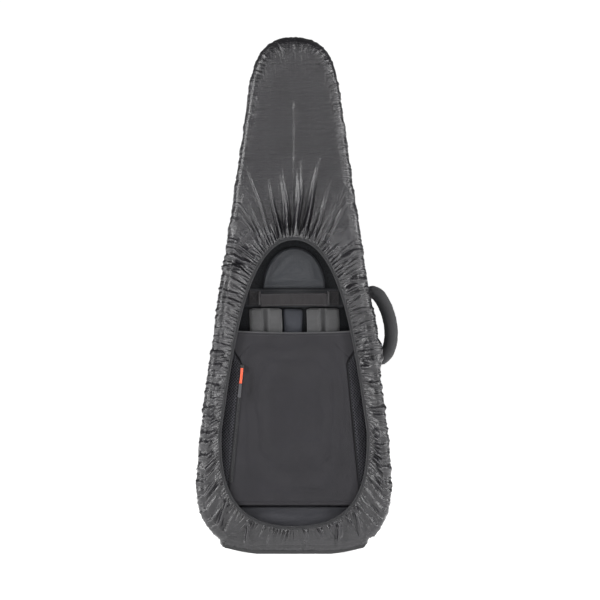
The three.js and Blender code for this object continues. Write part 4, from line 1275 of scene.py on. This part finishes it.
# ---------------------------------------------------------------- carrying side
def add_back_pads():
    low, high = box_mm("upper_back_pad")
    half, foot, top = high[0], low[2], high[2]
    middle = (foot + top) / 2
    right = chain(
        np.linspace((0, foot), (half, foot), 30),
        bezier((half, foot), (half, middle), (0.62 * half, top), (0, top)),
    )
    loop = smoothed(resample(both_sides(right), 300), 6)

    def crease(x, z, d):
        line = np.exp(-(((z - foot - 9 - 0.05 * x) / 3.2) ** 2)) * hump(d / 6)
        return -0.9 * line + 0.9 * np.exp(-(((z - foot - 17 + 0.08 * x) / 6) ** 2)) * hump((x + 70) / 60)

    stuffed(
        "upper_back_pad", 0.5, "arch_pad", loop, -55.8, -60.6, "arch", "ballistic", "bag", rim=5,
        crown=2.4, rows=26, relief=crease, slump=0.7, seed=21,
    )
    edge = grown(loop, 0.6)
    path = side_by_side(edge[:, 0], -57.2, edge[:, 1])
    sweep("arch_pad_piping", path, circle(1.1, 8), (0, 1, 0), "backing", "bag", closed=True)
    stuffed(
        "lower_back_pad", 0.5, "lower_pad", between(53, 97, -17, 12, 360), -55.8, -59.6, "lower",
        "ballistic", "bag", rim=6, crown=2.2, rows=18, slump=0.6, seed=23,
    )
    yoke = np.array([(-101, 501), (101, 501), (101, 538.6), (-101, 538.6)], float)
    yoke = smoothed(resample(yoke, 320), 10)
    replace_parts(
        puff("yoke_patch", yoke, -55.6, -57.2, "yoke", "ballistic", "bag", rim=3, crown=0.3, rows=12),
        "strap_yoke",
    )
    row = grown(yoke, -3.5)
    stitches("yoke_stitches", side_by_side(row[:, 0], -57.75, row[:, 1]), (0, -1, 0), "bag", closed=True)


def add_grab_handle():
    half = GRAB_SPAN / 2
    x = np.linspace(-half + 0.5, half - 0.5, 90)
    share = x / half
    bow = 9.0 * (1 - share**2)
    tilt = 3.2 * (1 - share**2) + 1.2 * share
    path = side_by_side(x, GRAB_AXIS_Y - bow, GRAB_Z - 3.2 + tilt * 0.4)
    turn = 0.16 * np.sin(share * 2.2)
    across = side_by_side(0.0, np.sin(turn), np.cos(turn))
    shape = section(27, 3.6, 0.5, 4)
    scales = side_by_side(1 - 0.05 * (1 - share**2), 1 + 0 * x)
    handle = sweep(
        "grab_handle_webbing", path, shape, across, "webbing", "grab_handle",
        scales=scales,
    )
    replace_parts(handle, "grab_handle")
    for shift, label in ((-10.5, "low"), (10.5, "high")):
        stitches(
            "grab_handle_stitch_" + label, path + across * shift + (0, -1.95, 0), (0, -1, 0),
            "grab_handle",
        )
    for side, sign in (("left", -1), ("right", 1)):
        node = "grab_handle_foot_" + side
        soften("grab_foot_" + side, node, "webbing_foot", "bag", bevel=0.8)
        low, high = box_mm(node)
        x0, x1 = sorted((sign * 73.5, sign * (max(abs(low[0]), abs(high[0])) - 2.5)))
        z0, z1 = low[2] + 3, high[2] - 3
        box_path = np.array(
            [(x0, z0), (x1, z0), (x1, z1), (x0, z1), (x0, z0), (x1, z1), (x1, z0), (x0, z1)], float,
        )
        line = side_by_side(box_path[:, 0], -60.7, box_path[:, 1])
        stitches("grab_foot_stitches_" + side, line, (0, -1, 0), "bag", 3.2, 2.2, 0.28)


def strap_section():
    """Two padded ribs with a channel between them."""
    right = []
    for k in range(25):
        x = 33 * k / 24
        d = min(abs(x - 5), 33 - x) if x > 5 else 0
        rise = math.sqrt(max(0.0, 1 - (1 - min(d / 7.5, 1)) ** 2))
        right.append((x, 5.2 * rise - 0.6 if x > 5 else -0.6))
    top = [(-x, y) for x, y in right[:0:-1]] + right
    return np.array([(x, y) for x, y in top] + [(x, 2.4 * (abs(x) / 33) ** 6 - 3.4) for x, y in top[::-1]])


STRAP_FITTINGS = (
    ("buckle_", "strap_buckle_", "black_plastic", "black_plastic", 0.9, 3),
    ("hook_", "strap_hook_", "black_plastic", "black_plastic", 1.1, 3),
    ("webbing_hank_", "strap_webbing_", "webbing_dark", "webbing", 0.8, 3),
    ("d_ring_", "strap_d_ring_", "black_plastic", "black_plastic", 0.9, 3),
    ("d_ring_loop_cloth_", "strap_d_ring_loop_", "webbing_dark", "webbing", 0.4, 2),
)


def add_straps():
    for side, sign in (("left", -1), ("right", 1)):
        z = np.linspace(STRAP_BOTTOM + 1, STRAP_TOP - 0.5, 110)
        x = sign * STRAP_X + 1.2 * np.sin(z / 33) * hump((STRAP_TOP - z) / 40)
        path = side_by_side(x, -61.0, z)
        shape = strap_section()
        scales = round_ends(len(z), 4.5, z[-1] - z[0])
        wave = 1 + 0.05 * np.sin(z / 7.0) * hump((z - 440) / 30) + 0.04 * np.sin(z / 3.1 + 2)
        scales[:, 1] *= wave
        strap = sweep(
            "strap_padding_" + side, path, shape, (-1, 0, 0), "strap_cloth", "bag",
            scales=scales,
        )
        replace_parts(strap, "shoulder_strap_" + side)
        for shift in (-4.6, 4.6):
            channel = path[4:-4] + (shift, -0.4, 0)
            label = side + ("_inner" if shift * sign < 0 else "_outer")
            sweep(
                "strap_channel_piping_" + label, channel, circle(0.9, 6), (1, 0, 0), "piping",
                "bag",
            )
        for name, node, look, slot, bevel, segments in STRAP_FITTINGS:
            soften(name + side, node + side, look, "bag", bevel=bevel, segments=segments)


def pocket_loop():
    ear = POCKET_SHOULDER + EAR_OUT
    top_z = POCKET_TOP
    right = np.array([
        (0, POCKET_BOTTOM), (POCKET_FOOT, POCKET_BOTTOM), (POCKET_SHOULDER, SHOULDER_Z),
        (ear, EAR_FROM), (ear - EAR_LEAN, top_z), (0, top_z - 3),
    ], float)
    return smoothed(resample(both_sides(spread(right, np.linspace(0, 1, 300))), 600), 5)


def add_pocket():
    loop = pocket_loop()

    def relief(x, z, d):
        """Corner seams across the ears, a seam above the foot and a slow swell."""
        lines = np.zeros(len(x))
        for sign in (-1, 1):
            along = (z - SHOULDER_Z) - (sign * x - POCKET_SHOULDER) * -1.05
            on = hump((sign * x - 78) / 12) * (z > 385)
            lines += -1.1 * np.exp(-((along - 14) / 1.6) ** 2) * on
        foot = -0.8 * np.exp(-(((z - POCKET_BOTTOM - 7) / 1.5) ** 2))
        swell = 2.2 * hump((z - 105) / 150) * hump((450 - z) / 110) * hump((118 - np.abs(x)) / 80)
        return lines + foot + swell

    stuffed(
        "pocket_face", 0.3, "pocket_panel", loop, POCKET_FACE_Y + 2.6, POCKET_FACE_Y + 0.2, "panel",
        "ballistic", "bag", rim=3, crown=0.6, spine=(200, 360), rows=60, relief=relief, slump=0.45,
        seed=31,
    )
    width = 119
    x = np.linspace(-width, width, 80)
    sag = 3.2 * (1 - (x / width) ** 2)
    path = side_by_side(x, -70.4 - 0.8 * (1 - (x / width) ** 2), POCKET_TOP + 1.0 - sag)
    trim = sweep("pocket_top_piping", path, circle(1.7, 10), (0, 1, 0), "piping", "bag")
    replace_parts(trim, "pocket_top_binding")
    row = path + (0, -1.2, -6)
    stitches("pocket_top_stitches", row, (0, -1, 0), "bag", 4.0, 2.6, 0.28)
    floor = np.array([
        (-POCKET_FOOT + 3, -63.6, POCKET_BOTTOM + 1.5),
        (POCKET_FOOT - 3, -63.6, POCKET_BOTTOM + 1.5),
    ])
    sweep(
        "pocket_floor_cloth", spread(floor, np.linspace(0, 1, 20)), section(15, 2.2, 0.5, 3),
        (0, 1, 0), "ballistic", "bag",
    )
    flap = smoothed(
        resample(
            np.array([(-23, 330), (19, 330), (15, 415), (18, 497), (-22, 499), (-20, 420)], float),
            260,
        ),
        12,
    )
    puff(
        "inner_flap", flap, -56.0, -59.0, "flap", "ballistic", "bag", rim=4, crown=1.4, rows=20,
        slump=0.9, seed=41,
    )
    for side, sign in (("left", -1), ("right", 1)):
        add_pocket_mesh(side, sign)


def mesh_strip(sign, u, v, lift=0.0):
    """A point on the pocket's mesh side: u from the face's edge out to the sewn edge, v from foot to ear."""
    z = POCKET_BOTTOM + (EAR_FROM - 2 - POCKET_BOTTOM) * v
    near = np.where(
        z < SHOULDER_Z - 4, face_edge(z),
        POCKET_SHOULDER + EAR_OUT * (z - SHOULDER_Z + 4) / (EAR_FROM - SHOULDER_Z + 2),
    ) + 0.6
    far = (near + shell_half(z)) / 2
    x = near + (far - near) * u
    bulge = 2.5 * np.sin(math.pi * u)
    y = POCKET_FACE_Y + (BACK_FACE - 2 - POCKET_FACE_Y) * u**1.3 - bulge * 0.3 - lift
    return side_by_side(sign * x, y, z)


def add_pocket_mesh(side, sign):
    u, v = np.meshgrid(np.linspace(0, 1, 10), np.linspace(0, 1, 90))
    top = mesh_strip(sign, u.ravel(), v.ravel(), 0.0)
    under = top + (0, 1.2, 0)
    faces = np.vstack([quads(90, 10, wrap=False), quads(90, 10, wrap=False, flip=True) + 900])
    backing = piece("mesh_backing_" + side, np.vstack([top, under]), faces, "backing", "bag")
    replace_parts(backing, "pocket_mesh_" + side)
    tall = 317.0
    wide = 22.0
    pitch = 6.4
    strands = []
    for slope in (1, -1):
        start = -wide
        while start < tall + wide:
            t = np.linspace(0, 1, 9)
            z = start + slope * t * wide * 1.45
            inside = (z >= 0) & (z <= tall)
            if inside.sum() >= 3:
                line = mesh_strip(sign, t[inside], z[inside] / tall, 0.7)
                strands.append(sweep_mesh(line, circle(0.62, 5), (0, 1, 0.2)))
            start += pitch
    verts, faces = joined(strands)
    piece("mesh_net_" + side, verts, faces, "air_mesh", "bag")
    for edge, label in ((0.02, "in"), (0.98, "out")):
        line = mesh_strip(sign, np.full(80, edge), np.linspace(0, 1, 80), 0.8)
        sweep(
            "mesh_binding_%s_%s" % (side, label), line, section(2.6, 1.4), (1, 0, 0), "backing",
            "bag",
        )


def add_pocket_zip():
    low, high = box_mm("pocket_zip_tape")
    z = np.linspace(low[2] + 0.6, high[2] - 0.6, 90)
    x = -(face_edge(z) - 3)
    path = side_by_side(x, -72.75, z)
    tape = sweep(
        "pocket_zip_tape_cloth", path, section(6.8, 0.8, 0.5, 2), (1, 0, 0), "zip_cloth",
        "bag",
    )
    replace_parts(tape, "pocket_zip_tape")
    teeth("pocket_zip_teeth", path + (0, -0.9, 0), (0, -1, 0), 2.9, "bag", pitch=1.5, radius=0.5)
    low, high = box_mm("pocket_zip_slider")
    middle = (low + high) / 2
    lengths = np.linspace(-7.2, 7.2, 17)
    path = middle + lengths[:, None] * ZIP_LEAN
    waist = 1 - 0.22 * np.cos(lengths / 7.2 * math.pi / 2) ** 2
    body = sweep_mesh(
        path + (0, 0.6, 0), section(7.6, 2.6, 0.5, 4), (1, 0, 0), scales=side_by_side(waist, 1.0),
    )
    hoop = [(0, 1.0, 4.5), (0, -1.3, 3.2), (0, -1.7, 0), (0, -1.3, -3.2), (0, 1.0, -4.5)]
    bridge = sweep_mesh(
        spread(middle + np.array(hoop, float), np.linspace(0, 1, 14)), section(2.2, 0.8), (1, 0, 0),
    )
    verts, faces = joined([body, bridge])
    slider = piece("pocket_zip_runner", verts, faces, "black_plastic", "pocket_slider")
    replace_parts(slider, "pocket_zip_slider")


def add_pull():
    """The pull's orange cord and its grip."""
    low, high = box_mm("zip_pull_cord")
    depth = (low[1] + high[1]) / 2
    start = np.array([-105.25, depth, high[2] - 0.35])
    path = start + np.linspace(0, CORD_LENGTH, 30)[:, None] * ZIP_LEAN
    path[:, 0] += 0.35 * np.sin(np.linspace(0, math.pi, 30))
    scales = 1 + 0.06 * np.cos(np.linspace(0, 9 * math.pi, 30))
    scales = side_by_side(scales, scales)
    turn = np.linspace(0, 2 * math.pi, 24, endpoint=False)
    twin = side_by_side(
        2.45 * np.cos(turn), 1.45 * np.sin(turn) * (0.55 + 0.45 * np.abs(np.cos(turn)) ** 0.5),
    )
    cord = sweep(
        "pull_cord", path, twin, (1, 0, 0), "orange_cord", "pocket_pull",
        scales=scales,
    )
    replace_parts(cord, "zip_pull_cord")
    top = path[-1] + ZIP_LEAN * 0.5
    steps = np.linspace(0, 28, 40)
    line = top + steps[:, None] * ZIP_LEAN
    widths = 0.86 + 0.04 * np.cos(steps * 1.4) + 0.22 * hump((steps - 20) / 6)
    widths *= np.sqrt(np.clip(1 - np.clip(1 - (28.4 - steps) / 2.5, 0, 1) ** 2, 0.08, 1))
    widths *= np.sqrt(np.clip(1 - np.clip(1 - steps / 2.5, 0, 1) ** 2, 0.15, 1))
    thick = 1 - 0.12 * np.cos(steps * 2.2)
    thick *= np.where(steps > 26.5, 0.6, 1)
    grip = sweep(
        "pull_grip", line, section(6.8, 3.0, 0.5, 4), (1, 0, 0), "grey_grip",
        "pocket_pull", scales=side_by_side(widths, thick),
    )
    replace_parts(grip, "zip_pull_grip")


# ---------------------------------------------------------------- side handle
def handle_route(count):
    """The side handle's middle line, from its upper end to its lower end."""
    half = 76.0
    places = [(0, 0.87), (0.42, 0.72), (0.78, 0.36), (0.92, -0.06), (0.82, -0.44), (0.5, -0.75), (0, -0.95)]
    points = np.array([HANDLE_PIVOT + HANDLE_OUT * 29 * a + HANDLE_UP * half * b for a, b in places])
    return catmull(points, count)


def catmull(points, count):
    """A smooth line through points."""
    full = np.vstack([2 * points[0] - points[1], points, 2 * points[-1] - points[-2]])
    parts = []
    for k in range(len(points) - 1):
        a, b, c, d = full[k : k + 4]
        t = np.linspace(0, 1, 24, endpoint=False)[:, None]
        square = (2 * a - 5 * b + 4 * c - d) * t**2
        parts.append(0.5 * (2 * b + (c - a) * t + square + (3 * b - a - 3 * c + d) * t**3))
    parts.append(points[-1:])
    return spread(np.vstack(parts), np.linspace(0, 1, count))


def add_side_handle():
    """A padded handle whose ends bend where they go in through the cover's slit."""
    route = handle_route(140)
    lead = [route[0] - HANDLE_OUT * 11, route[-1] - HANDLE_OUT * 11]
    part = np.vstack([lead[:1], route, lead[1:]])
    part = spread(part, np.linspace(0, 1, 150))
    run = np.linspace(0, 1, 150)
    near = np.minimum(run, 1 - run)
    fat = 0.80 + 0.2 * hump(near / 0.12) + 0.012 * np.sin(run * 46) + 0.01 * np.sin(run * 83 + 1)
    scales = side_by_side(fat, fat)
    sleeve = sweep(
        "side_handle_padding", part, circle(13.9, 28), (0, 1, 0), "handle_cloth",
        None, scales=scales,
    )
    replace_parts(sleeve, "side_handle_sleeve", "side_handle_core")
    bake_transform(sleeve)
    ahead = np.gradient(part, axis=0)
    ahead /= np.linalg.norm(ahead, axis=1)[:, None]
    inner = np.cross(ahead, (0, 1, 0))
    if inner[75] @ HANDLE_OUT > 0:
        inner = -inner
    seam = part[16:-16] + inner[16:-16] * 13.6
    points, along = every(seam, 4.2)
    ups = inner[16:-16][np.linspace(0, len(seam) - 1, len(points)).astype(int)]
    repeated(
        "side_handle_seam", capsule(2.8, 0.32), points, along, ups, "thread",
        "side_handle",
    )
    for name, sign, reach in (("upper", 1, 66.0), ("lower", -1, 70.0)):
        add_anchor(name, sign, reach)


def add_anchor(name, sign, reach):
    """Webbing that lies on the side wall and bends out to the end of the side handle."""
    node = "side_handle_anchor_" + name
    low, high = box_mm(node)
    far, near = (high[2], low[2]) if sign > 0 else (low[2], high[2])
    end = HANDLE_PIVOT + HANDLE_UP * sign * reach
    wall = [(shell_half(z) + 2.2, 0, z) for z in np.linspace(far - sign, near + sign * 12, 5)]
    bend = [
        (shell_half(near) + 4.5, 0, near - sign * 2),
        tuple(end + HANDLE_OUT * 1.5 + HANDLE_UP * sign * 5),
    ]
    path = catmull(np.array(wall + bend, float), 50)
    strap = sweep(
        "side_handle_webbing_" + name, path, section(26, 2.4, 0.5, 3), (0, 1, 0), "webbing_dark",
        "bag",
    )
    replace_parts(strap, node)
    line = path[4:22] + (1.4, 0, 0)
    for shift, label in ((-9, "near"), (9, "far")):
        stitches(
            "side_webbing_stitches_%s_%s" % (name, label), line + (0, shift, 0), (1, 0, 0), "bag",
        )


def add_main_sliders():
    for name in ("upper", "lower"):
        node = "main_zip_slider_" + name
        soften("main_runner_" + name, node, "black_plastic", "bag", bevel=0.7)


# ---------------------------------------------------------------- floor
def add_floor():
    """A wide pale floor."""
    side = np.linspace(-45, 45, 13)
    x, y = np.meshgrid(side, side)
    verts = side_by_side(x.ravel(), y.ravel(), np.zeros(x.size))
    mesh = bpy.data.meshes.new("studio_floor")
    mesh.from_pydata(verts.tolist(), [], quads(13, 13, wrap=False).tolist())
    floor = bpy.data.objects.new("studio_floor", mesh)
    scene.collection.objects.link(floor)
    look = Look("studio_paper", 0.9, specular=0.1)
    look.shader.inputs["Emission Color"].default_value = (1, 1, 1, 1)
    look.shader.inputs["Emission Strength"].default_value = 0.9
    look.colour((246, 246, 246), (250, 250, 250), look.noise(2.0, 2.0))
    look.raise_by(look.noise(400, 2.0), 1.0)
    mesh.materials.append(look.bump(0.0001))


add_camera()
add_studio()
add_pull()
add_floor()
add_shell()
add_main_zip()
add_lid()
add_inside()
add_back_pads()
add_grab_handle()
add_straps()
add_pocket()
add_pocket_zip()
add_side_handle()
add_main_sliders()
hem = add_hem()
binding = add_slot_binding()
cover = add_cover()
